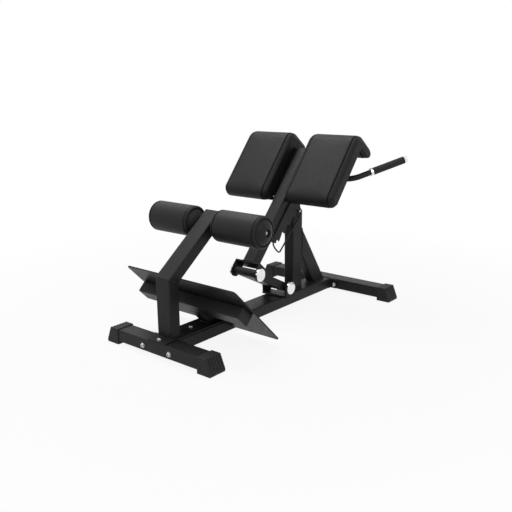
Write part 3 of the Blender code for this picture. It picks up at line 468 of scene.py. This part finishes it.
def skin(rings, caps=True):
    """A bmesh through closed rings; without caps the last ring joins the first."""
    bm = bmesh.new()
    rows = [[bm.verts.new(point) for point in ring] for ring in rings]
    count = len(rows[0])
    pairs = list(zip(rows, rows[1:]))
    if not caps:
        pairs.append((rows[-1], rows[0]))
    for row, following in pairs:
        for i in range(count):
            j = (i + 1) % count
            bm.faces.new((row[i], row[j], following[j], following[i]))
    if caps:
        for row in (rows[0], rows[-1]):
            bm.faces.new(row)
    return bm


def groove(offset, half, depth):
    """Depth of a rounded seam groove at an offset from its middle; it ends two halves out."""
    reach = half * 2
    if abs(offset) >= reach:
        return 0
    return depth * 0.5 * (1 + math.cos(math.pi * offset / reach))


def within(value):
    """The value, kept from 0 to 1."""
    return min(1, max(0, value))


def quarter_turn(steps):
    """The angles of a quarter turn in equal steps, from 0."""
    return [math.pi / 2 * step / steps for step in range(steps + 1)]


def pad_outline():
    """Side view of a pad in (along the face, behind the face)."""
    corners = [
        (-PAD_BELOW, 0, PAD_BOTTOM_RADIUS),
        (PAD_TOP, 0, PAD_TOP_RADIUS),
        (PAD_TOP, PAD_FLAP_REACH, PAD_END_RADIUS),
        (PAD_UNDER_FLAP, PAD_FLAP_REACH, PAD_END_RADIUS),
        (PAD_UNDER_FLAP, PAD_THICK, PAD_INNER_RADIUS),
        (-PAD_BELOW, PAD_THICK, PAD_END_RADIUS),
    ]
    return filled(rounded(corners), PAD_STEP)


def pad_stations(depth):
    """(distance from the middle, inset of the outline, seam depth) from one side to the other."""
    stations = []
    for step in range(PAD_SIDE_STEPS + 1):
        inward = step / PAD_SIDE_STEPS
        bulge = (PAD_SEAM_IN + PAD_SIDE_BULGE) * inward ** PAD_SIDE_FULLNESS
        stations.append((PAD_HALF + PAD_SIDE_BULGE - bulge, PAD_SIDE_INSET * (1 - inward)))
    stations += [(PAD_SEAM - PAD_SEAM_HALF * u, 0) for u in SEAM_STEPS if u > 0]
    stations += [(PAD_SEAM * u, 0) for u in PAD_STATIONS]
    half = [(y, amount, groove(y - PAD_SEAM, PAD_SEAM_HALF, depth)) for y, amount in stations]
    return half + [(0, 0, 0)] + [(-y, amount, sunk) for y, amount, sunk in reversed(half)]


def pad_rings(depth, shrink=0.0):
    """Rings of a pad about its own middle plane, in the row frame's x and z."""
    outline = pad_outline()
    shares = [pad_share(point) for point in outline]
    rings = []
    for y, amount, sunk in pad_stations(depth):
        ring = []
        for point in inset(outline, [amount * share + sunk + shrink for share in shares]):
            along = point.x + pad_corner(point.x, PAD_HALF - abs(y))
            place = PAD_FOOT + PAD_UP * along + PAD_BACK * point.y
            ring.append(Vector((place.x, y * (1 - shrink / PAD_HALF), place.z)))
        rings.append(ring)
    return rings


def pad_share(point):
    """How much of the side panel's rounding a point of the outline takes.

    Behind the pad it falls off from a third of the thickness to the board, under the flap over
    all but its top fifth, and along the flap to its end.
    """
    if point.x < PAD_UNDER_FLAP - PAD_INNER_RADIUS:
        back = (point.y - PAD_THICK / 3) / (PAD_THICK * 2 / 3)
    elif point.y > PAD_THICK * 0.8:
        back = (PAD_TOP - point.x - PAD_FLAP_THICK / 5) / (PAD_FLAP_THICK * 4 / 5)
    else:
        back = 0
    end = (point.y - PAD_FLAP_THICK) / (PAD_FLAP_REACH - PAD_FLAP_THICK)
    end_share = 1 - (1 - PAD_FLAP_SHARE) * within(end)
    return min(end_share, 1 - (1 - PAD_BACK_SHARE) * within(back))


def pad_corner(along, from_side):
    """How far the corners at both ends of a pad draw in, near its side edges."""
    moved = 0
    ends = ((PAD_LOW_CORNER, PAD_BOTTOM_RADIUS - PAD_BELOW - along, PAD_BOTTOM_RADIUS),
            (-PAD_TOP_CORNER, along - PAD_TOP + PAD_FLAP_THICK, PAD_FLAP_THICK))
    for corner, inside, reach in ends:
        near = within(1 - from_side / abs(corner))
        share = within(inside / reach)
        moved += corner * share * (1 - math.sqrt(1 - near * near))
    return moved


def pad_held(place):
    """True where the board behind a pad or one of its two seams holds the cover."""
    along = (place - PAD_FOOT).dot(PAD_UP)
    behind = (place - PAD_FOOT).dot(PAD_BACK)
    on_board = behind > PAD_THICK - VOXEL and along < PAD_UNDER_FLAP - PAD_INNER_RADIUS
    return on_board or abs(abs(place.y) - PAD_SEAM) < HELD_BAND


def evaluated(shape):
    """A copy of an object's mesh with its modifiers applied."""
    graph = bpy.context.evaluated_depsgraph_get()
    return bpy.data.meshes.new_from_object(shape.evaluated_get(graph))


def remeshed(name, rings, caps):
    """A closed object through the rings, made of small even faces."""
    rough = object_from(name, skin(rings, caps), None)
    remesh = rough.modifiers.new("remesh", "REMESH")
    remesh.mode = "VOXEL"
    remesh.voxel_size = VOXEL
    mesh = evaluated(rough)
    bpy.data.objects.remove(rough)
    shape = bpy.data.objects.new(name, mesh)
    bpy.context.scene.collection.objects.link(shape)
    return shape


def blown_up(shape, held_at):
    """The corners of a closed object once cloth has blown it up, apart from where it is held."""
    held = shape.vertex_groups.new(name="held")
    held.add([v.index for v in shape.data.vertices if held_at(v.co)], 1.0, "REPLACE")
    cloth = shape.modifiers.new("cloth", "CLOTH")
    cloth.settings.quality = CLOTH_QUALITY
    cloth.settings.use_pressure = True
    cloth.settings.uniform_pressure_force = PRESSURE
    cloth.settings.effector_weights.gravity = 0
    cloth.settings.vertex_group_mass = held.name
    cloth.point_cache.frame_start = 1
    cloth.point_cache.frame_end = CLOTH_FRAMES
    for step in range(1, CLOTH_FRAMES + 1):
        bpy.context.scene.frame_set(step)
    places = corners_of(evaluated(shape))
    bpy.context.scene.frame_set(1)
    return places


def swell(name, rings, caps, held_at, cap):
    """Cloth blows a closed form up: its faces, its corners and how far each corner swelled out."""
    shape = remeshed(name, rings, caps)
    mesh = shape.data
    rest = corners_of(mesh)
    outward = np.array([vertex.normal for vertex in mesh.vertices])
    faces = [tuple(face.vertices) for face in mesh.polygons]
    edges = np.array([tuple(edge.vertices) for edge in mesh.edges])
    moved = blown_up(shape, held_at) - rest
    bpy.data.objects.remove(shape)
    for _ in range(SWELL_SMOOTHING):
        around = np.zeros_like(moved)
        count = np.zeros(len(moved))
        for here, there in (edges.T, edges.T[::-1]):
            np.add.at(around, here, moved[there])
            np.add.at(count, here, 1)
        moved = (moved + around) / (1 + count[:, None])
    swelling = np.clip(np.sum(moved * outward, axis=1, keepdims=True), 0, cap)
    return faces, rest, outward * swelling


def corners_of(mesh):
    """A mesh's corners as an array."""
    places = np.zeros(len(mesh.vertices) * 3)
    mesh.vertices.foreach_get("co", places)
    return places.reshape(-1, 3)


def carry(rings, swollen):
    """Moves every point of the rings as the corners of the swollen form's nearest face moved."""
    faces, rest, moved = swollen
    tree = BVHTree.FromPolygons([Vector(place) for place in rest], faces)
    for ring in rings:
        for point in ring:
            near, _, index, _ = tree.find_nearest(point)
            corners = list(faces[index])
            weights = 1 / (CARRY_BLUR + np.linalg.norm(rest[corners] - np.array(near), axis=1))
            point += Vector(weights / weights.sum() @ moved[corners])


def sew(piece, on_seam):
    """Gives the faces on a piece's seams the seam look: its thread, and painted shade darker than
    the vinyl.
    """
    piece.data.materials.append(LOOKS["seam"])
    for face in piece.data.polygons:
        if on_seam(face.center):
            # These faces take the darker seam material, which paints the groove's shade
            face.material_index = 1


def pads():
    """Both cushions: one simulated form, set on the left and mirrored on the right."""
    rings = pad_rings(PAD_SEAM_DEPTH)
    carry(rings, swell("pad_cloth", pad_rings(0, PAD_SHRINK), True, pad_held, PAD_CAP))
    for name, side in SIDES.items():
        placed = [[Vector((p.x, side * (PAD_MIDDLE_Y + p.y), p.z)) for p in ring] for ring in rings]
        pad = object_from(f"pad_cushion_{name}", skin(placed), LOOKS["vinyl"], SOFT_SHARP_ANGLE)
        sew(pad, lambda place: abs(abs(abs(place.y) - PAD_MIDDLE_Y) - PAD_SEAM) < PAD_SEAM_BAND)
        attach(pad, "carriage")
        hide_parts(f"pad_{name}")


def roller_profile(depth):
    """Half of a roller's profile in (radius, height), from the middle out and in to the bore."""
    profile = [(ROLLER_RADIUS, ROLLER_STRAIGHT * u) for u in ROLLER_STATIONS]
    for u in SEAM_STEPS[:-1]:
        sunk = groove(ROLLER_SEAM_HALF * u, ROLLER_SEAM_HALF, depth)
        profile.append((ROLLER_RADIUS - sunk, ROLLER_SIDE_SEAM + ROLLER_SEAM_HALF * u))
    for turn in quarter_turn(ROLLER_SHOULDER_STEPS):
        profile.append((ROLLER_END_RADIUS + ROLLER_SHOULDER * math.cos(turn),
                        ROLLER_STRAIGHT + ROLLER_SHOULDER * math.sin(turn)))
    for u in SEAM_STEPS[1:]:
        sunk = groove(ROLLER_SEAM_HALF * u, ROLLER_SEAM_HALF, depth)
        profile.append((ROLLER_END_SEAM - ROLLER_SEAM_HALF * u, ROLLER_END - sunk))
    rim = ROLLER_END_SEAM - ROLLER_SEAM_HALF * 2
    mouth = ROLLER_BORE + ROLLER_LIP
    for step in range(1, ROLLER_DOME_STEPS + 1):
        radius = rim + (mouth - rim) * step / ROLLER_DOME_STEPS
        sunk = (radius ** 2 - mouth ** 2) / (rim ** 2 - mouth ** 2)
        profile.append((radius, ROLLER_END + ROLLER_DOME * (1 - sunk)))
    profile += [
        (ROLLER_BORE + ROLLER_LIP / 3, ROLLER_HALF - ROLLER_LIP / 3),
        (ROLLER_BORE, ROLLER_HALF - ROLLER_LIP),
        (ROLLER_BORE, ROLLER_HALF - ROLLER_BORE_DEPTH),
    ]
    return profile


def roller_rings(depth):
    """Rings of a roller about its own axis, one for each turn step."""
    profile = roller_profile(depth)
    whole = profile + [(radius, -height) for radius, height in reversed(profile[1:])]
    rings = []
    for step in range(ROLLER_SIDES):
        turn = math.tau * step / ROLLER_SIDES
        rings.append([Vector((radius * math.cos(turn), height, radius * math.sin(turn)))
                      for radius, height in whole])
    return rings


def near_roller_seam(place, band):
    """True within a band of the two seams at each end of a roller, about its own axis."""
    radius = math.hypot(place.x, place.z)
    height = abs(place.y)
    on_side = abs(height - ROLLER_SIDE_SEAM) < band and radius > ROLLER_END_SEAM
    on_end = abs(radius - ROLLER_END_SEAM) < band and height > ROLLER_SIDE_SEAM
    return on_side or on_end


def roller_held(place):
    """True where the seams or the bore hold a roller's cover."""
    in_bore = math.hypot(place.x, place.z) < ROLLER_BORE + VOXEL
    return in_bore or near_roller_seam(place, HELD_BAND)


def rollers():
    """Both foam rollers: one simulated form, mirrored, each turning on the axle."""
    rings = roller_rings(ROLLER_SEAM_DEPTH)
    carry(rings, swell("roller_cloth", roller_rings(0), False, roller_held, ROLLER_CAP))
    for name, side in SIDES.items():
        middle = middle_of(f"heel_roller_{name}")
        placed = [[middle + Vector((p.x, side * p.y, p.z)) for p in ring] for ring in rings]
        roller = object_from(f"roller_cover_{name}", skin(placed, caps=False), LOOKS["foam"],
                             SOFT_SHARP_ANGLE)
        sew(roller, lambda place: near_roller_seam(place - middle, ROLLER_SEAM_HALF))
        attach(roller, f"roller_{name}")
        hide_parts(f"heel_roller_{name}")


def hexagon(across, turn):
    """Distance from a hexagon's centre to its side in a direction; across is over its flats."""
    return across / 2 / math.cos(math.remainder(turn, math.pi / 3))


def turned(name, sections, place, aim, look, body, hollow=False, sides=TURNED_SIDES):
    """A piece turned about its aim from (radius, height) sections.

    A radius below 0 stands for a hexagon with that radius to its flats. A hollow piece's last
    section joins its first.
    """
    rings = []
    frame_turn = aim.to_track_quat("Z", "Y")
    for radius, height in sections:
        ring = []
        for step in range(sides):
            turn = math.tau * step / sides
            reach = radius if radius >= 0 else hexagon(-2 * radius, turn)
            point = Vector((reach * math.cos(turn), reach * math.sin(turn), height))
            ring.append(place + frame_turn @ point)
        rings.append(ring)
    made = object_from(name, skin(rings, caps=not hollow), look, TURNED_SHARP_ANGLE)
    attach(made, body)
    return made


def socket_bolt(name, seat, aim, radius, body, node=None):
    """A washer, and a domed bolt head with a hexagon socket."""
    height = radius * 0.72
    rim = radius * 0.22
    foot = radius * 0.97
    ease = rim * 0.4
    top = radius * 0.62
    socket = -radius * 0.36
    floor = height * 0.35
    middle = height * 0.30
    sections = [(foot, WASHER), (radius, WASHER + ease), (radius, WASHER + rim)]
    for turn in quarter_turn(BOLT_DOME_STEPS)[1:]:
        sections.append((top + (radius - top) * math.cos(turn),
                         WASHER + rim + (height - rim) * math.sin(turn)))
    sections += [
        (socket, WASHER + height),
        (socket, WASHER + floor),
        (SOCKET_MIDDLE, WASHER + middle),
    ]
    head = turned(name, sections, seat, aim, LOOKS["zinc"], body)
    if node:
        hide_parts(node)
    washer(name + "_washer", seat, aim, radius, body)


def washer(name, seat, aim, radius, body):
    """A flat washer with eased edges, under a bolt head of a radius."""
    outer = radius * WASHER_OUTER
    inner = radius * WASHER_INNER
    ease = WASHER / 4
    sections = [
        (inner, 0),
        (outer - ease, 0),
        (outer, ease),
        (outer, WASHER - ease),
        (outer - ease, WASHER),
        (inner, WASHER),
    ]
    turned(name, sections, seat, aim, LOOKS["zinc"], body, hollow=True)


def nut(name, seat, aim, radius, body):
    """A washer, and a hexagon nut with the bolt's end in it."""
    across = -radius * 0.95
    face = radius * 0.9
    height = radius * 0.85
    ease = height * 0.12
    bore = radius * 0.60
    bolt = radius * 0.56
    bolt_tip = radius * 0.50
    sections = [
        (face, WASHER),
        (across, WASHER + ease),
        (across, WASHER + height - ease),
        (face, WASHER + height),
        (bore, WASHER + height),
        (bolt, WASHER + height + radius * 0.3),
        (bolt_tip, WASHER + height + radius * 0.35),
    ]
    turned(name, sections, seat, aim, LOOKS["zinc"], body)
    washer(name + "_washer", seat, aim, radius, body)


def middle_of(node):
    """Middle of a CAD node's box."""
    low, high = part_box(node)
    return (Vector(low) + Vector(high)) / 2


def fasteners():
    """The frame's bolts with their nuts, and the bolts on the axle and on the pad brackets."""
    ahead = Vector((1, 0, 0))
    up = Vector((0, 0, 1))
    front_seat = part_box("rail_front_flange")[1][0]
    rear_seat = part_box("rear_cross_tube")[1][0]
    for end, nut_seat in (("front", front_seat), ("rear", rear_seat)):
        for name in SIDES:
            node = f"{end}_flange_bolt_{name}"
            seat = middle_of(node)
            seat.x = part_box(node)[0][0] + BOLT_HEAD
            socket_bolt(f"{node}_head", seat, -ahead, BOLT_HEAD_RADIUS, "frame", node)
            seat.x = nut_seat
            nut(f"{node}_nut", seat, ahead, BOLT_HEAD_RADIUS, "frame")
    for node in ("base_plate_bolt_front", "base_plate_bolt_rear"):
        seat = middle_of(node)
        seat.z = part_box(node)[1][2] - BOLT_HEAD
        socket_bolt(f"{node}_head", seat, up, BOLT_HEAD_RADIUS, "frame", node)
    axle = middle_of("roller_axle")
    for name, side in SIDES.items():
        seat = Vector((axle.x, side * (ROLLER_OUTER_Y - AXLE_RECESS), axle.z))
        outward = Vector((0, side, 0))
        socket_bolt(f"axle_end_bolt_{name}", seat, outward, AXLE_BOLT_RADIUS, "frame")
        seat = PAD_FOOT + PAD_UP * BRACKET_BOLT_ALONG + PAD_BACK * BRACKET_FRONT
        seat.y = side * BRACKET_BOLT_Y
        socket_bolt(f"bracket_bolt_{name}", seat, -PAD_BACK, BRACKET_BOLT_RADIUS, "carriage")


def pivot_caps():
    """Chrome caps of the two pivots, with a dished face inside a rounded rim."""
    for node in ("lower_pivot_cap", "upper_pivot_cap"):
        body = "frame" if node.startswith("lower") else "carriage"
        for name, side in SIDES.items():
            low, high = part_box(f"{node}_{name}")
            radius = (high[0] - low[0]) / 2
            width = high[1] - low[1]
            seat = middle_of(f"{node}_{name}")
            seat.y -= side * width / 2
            rim = width * PIVOT_CAP_RIM
            rim_inside = radius * 0.80
            dish = radius * 0.76
            dish_middle = radius * 0.35
            sections = [(radius - rim / 2, 0), (radius, rim / 2), (radius, width - rim)]
            for turn in quarter_turn(PIVOT_CAP_STEPS)[1:]:
                sections.append((radius - rim * (1 - math.cos(turn)),
                                 width - rim * (1 - math.sin(turn))))
            sections += [
                (rim_inside, width),
                (dish, width - rim * 0.35),
                (dish_middle, width - rim * 0.2),
                (PIVOT_CAP_MIDDLE, width - rim * 0.15),
            ]
            cap = turned(f"{node}_{name}_chrome", sections, seat, Vector((0, side, 0)),
                         LOOKS["chrome"], body, sides=PIVOT_CAP_SIDES)
            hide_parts(f"{node}_{name}")


def end_outline(node, towards):
    """The outer outline of a CAD node's end face that lies furthest in a direction."""
    places = corners_of(NODES[node].data)
    heights = places @ np.array(towards)
    flat = [Vector(p) for p in places[heights > heights.max() - END_TOLERANCE]]
    middle = sum(flat, Vector()) / len(flat)
    across = towards.orthogonal().normalized()
    other = towards.cross(across)
    from_middle = [p - middle for p in flat]
    points = sorted({(round(p.dot(across), 6), round(p.dot(other), 6)) for p in from_middle})

    def chain(ordered):
        """One side of the points' convex hull, without its last point."""
        kept = []
        for point in ordered:
            while len(kept) > 1 and turning(kept[-2], kept[-1], point) <= TURN_TOLERANCE:
                kept.pop()
            kept.append(point)
        return kept[:-1]

    hull = chain(points) + chain(points[::-1])
    return [middle + across * a + other * b for a, b in hull]


def turning(first, second, third):
    """Above 0 where three flat points turn left."""
    rising = (second[0] - first[0]) * (third[1] - first[1])
    return rising - (second[1] - first[1]) * (third[0] - first[0])


def weld(name, route, body):
    """A rippled weld bead along a closed route."""
    points = filled(route, WELD_STEP)
    rings = []
    for i, point in enumerate(points):
        forward = (points[(i + 1) % len(points)] - points[i - 1]).normalized()
        across = forward.orthogonal().normalized()
        other = forward.cross(across)
        ripple = WELD_RIPPLE_DEPTH * math.sin(i * math.tau / WELD_RIPPLE)
        wave = WELD_WAVE_DEPTH * math.sin(i * WELD_WAVE)
        radius = WELD_RADIUS * (1 + ripple + wave)
        rings.append([point + (across * math.cos(t) + other * math.sin(t)) * radius
                      for t in (math.tau * k / WELD_SIDES for k in range(WELD_SIDES))])
    bead = object_from(name, skin(rings, caps=False), LOOKS["frame"], WELD_SHARP_ANGLE)
    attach(bead, body)


def welds():
    """Beads where the welded tubes and plates meet."""
    down = Vector((0, 0, -1))
    ahead = Vector((1, 0, 0))
    mitre = (slope(ARM_ANGLE) - down).normalized()
    ends = (
        ("post_foot", "front_post", down),
        ("arm_foot", "front_arm", -mitre),
        ("upright_foot", "rear_upright", down),
        ("brace_foot", "upright_brace", down),
        ("brace_top", "upright_brace", -ahead),
        ("strut_foot", "foot_plate_strut", down),
        ("rail_front", "main_rail", -ahead),
        ("rail_rear", "main_rail", ahead),
        ("carriage_foot", "carriage_tube", -CARRIAGE_UP),
        ("lower_bracket_foot", "lower_pivot_bracket", down),
    )
    for name, node, towards in ends:
        body = "carriage" if node == "carriage_tube" else "frame"
        weld(f"weld_{name}", end_outline(node, towards), body)


def finish_nodes():
    """Gives every CAD node the material of its slot."""
    for entry in frame["record"]["subparts"]:
        node = NODES[entry["node"]]
        node.data.materials.clear()
        node.data.materials.append(LOOKS[entry["material_slot"]])


def camera():
    """The photograph's camera."""
    azimuth = math.radians(CAMERA_AZIMUTH)
    down = math.radians(CAMERA_DOWN)
    roll = math.radians(CAMERA_ROLL)
    ahead = Vector((math.cos(azimuth) * math.cos(down), math.sin(azimuth) * math.cos(down),
                    -math.sin(down)))
    level = Vector((math.sin(azimuth), -math.cos(azimuth), 0))
    above = level.cross(ahead)
    right = level * math.cos(roll) + above * math.sin(roll)
    up = above * math.cos(roll) - level * math.sin(roll)
    data = bpy.data.cameras.new("photo_camera")
    data.lens = data.sensor_width * FOCAL_PIXELS / PHOTO_SIZE
    made = bpy.data.objects.new("photo_camera", data)
    turn = Matrix((right, up, -ahead)).transposed().to_4x4()
    made.matrix_world = Matrix.Translation(CAMERA_PLACE) @ turn
    bpy.context.scene.collection.objects.link(made)
    bpy.context.scene.camera = made


def softbox(name, place, aim, size, power):
    """A square area lamp aimed at a point."""
    data = bpy.data.lights.new(name, "AREA")
    data.shape = "SQUARE"
    data.size = size
    data.energy = power
    made = bpy.data.objects.new(name, data)
    made.location = place
    made.rotation_euler = (Vector(place) - Vector(aim)).to_track_quat("Z", "Y").to_euler()
    bpy.context.scene.collection.objects.link(made)


def seen_rays(tree):
    """1 for the camera's rays and those that gloss or glass sends on, and 0 for the rest."""
    path = tree.nodes.new("ShaderNodeLightPath")
    seen = path.outputs["Is Camera Ray"]
    for kind in ("Is Glossy Ray", "Is Transmission Ray"):
        either = tree.nodes.new("ShaderNodeMath")
        either.operation = "MAXIMUM"
        tree.links.new(seen, either.inputs[0])
        tree.links.new(path.outputs[kind], either.inputs[1])
        seen = either.outputs[0]
    return seen


def studio():
    """White surroundings, soft lamps, and a pale floor that keeps the shadow."""
    world = bpy.data.worlds.new("studio")
    bpy.context.scene.world = world
    world.use_nodes = True
    tree = world.node_tree
    light = tree.nodes["Background"]
    light.inputs["Color"].default_value = (1, 1, 1, 1)
    light.inputs["Strength"].default_value = WORLD_STRENGTH
    white = tree.nodes.new("ShaderNodeBackground")
    white.inputs["Color"].default_value = (1, 1, 1, 1)
    mix = tree.nodes.new("ShaderNodeMixShader")
    tree.links.new(seen_rays(tree), mix.inputs["Fac"])
    tree.links.new(light.outputs[0], mix.inputs[1])
    tree.links.new(white.outputs[0], mix.inputs[2])
    tree.links.new(mix.outputs[0], tree.nodes["World Output"].inputs["Surface"])
    for name, (place, size, power) in LAMPS.items():
        softbox(name, place, LAMP_AIM, size, power)

    floor = object_from("floor", floor_mesh(), floor_look())


def floor_mesh():
    """A wide flat floor."""
    bm = bmesh.new()
    corners = ((-1, -1), (1, -1), (1, 1), (-1, 1))
    bm.faces.new([bm.verts.new((FLOOR_REACH * x, FLOOR_REACH * y, 0)) for x, y in corners])
    return bm


def floor_look():
    """Pale floor that glows where it is seen, keeps a faint shadow and fades into the white."""
    look = Look("pale_floor", 0.9, specular=0.1)
    look.shader.inputs["Base Color"].default_value = (FLOOR_SHADE, FLOOR_SHADE, FLOOR_SHADE, 1)
    glow = look.add("ShaderNodeEmission")
    glow.inputs["Strength"].default_value = 1.0
    share = look.add("ShaderNodeMath", operation="MULTIPLY")
    share.inputs[1].default_value = FLOOR_GLOW
    look.link(seen_rays(look.tree), share.inputs[0])
    lit = look.add("ShaderNodeMixShader")
    look.link(share.outputs[0], lit.inputs["Fac"])
    look.link(look.shader.outputs[0], lit.inputs[1])
    look.link(glow.outputs[0], lit.inputs[2])
    clear = look.add("ShaderNodeBsdfTransparent")
    mix = look.add("ShaderNodeMixShader")
    length = look.add("ShaderNodeVectorMath", operation="LENGTH")
    look.link(look.place, length.inputs[0])
    look.link(look.spread(length.outputs["Value"], 0, 1, *FLOOR_FADE), mix.inputs["Fac"])
    look.link(lit.outputs[0], mix.inputs[1])
    look.link(clear.outputs[0], mix.inputs[2])
    look.link(mix.outputs[0], look.tree.nodes["Material Output"].inputs["Surface"])
    return look.material


LOOKS = {
    "frame": powder_coat(),
    "vinyl": vinyl("black_vinyl", PAD_SHADE),
    "foam": vinyl("roller_vinyl", ROLLER_SHADE),
    "rubber": rubber(),
    "plastic": plastic(),
    "chrome": chrome(),
    "zinc": bolt_zinc(),
    "steel": turned_steel(),
    "board": board(),
    "seam": seam(),
}
camera()
studio()
finish_nodes()
pads()
rollers()
fasteners()
pivot_caps()
welds()

bpy.context.scene.view_settings.view_transform = "Standard"
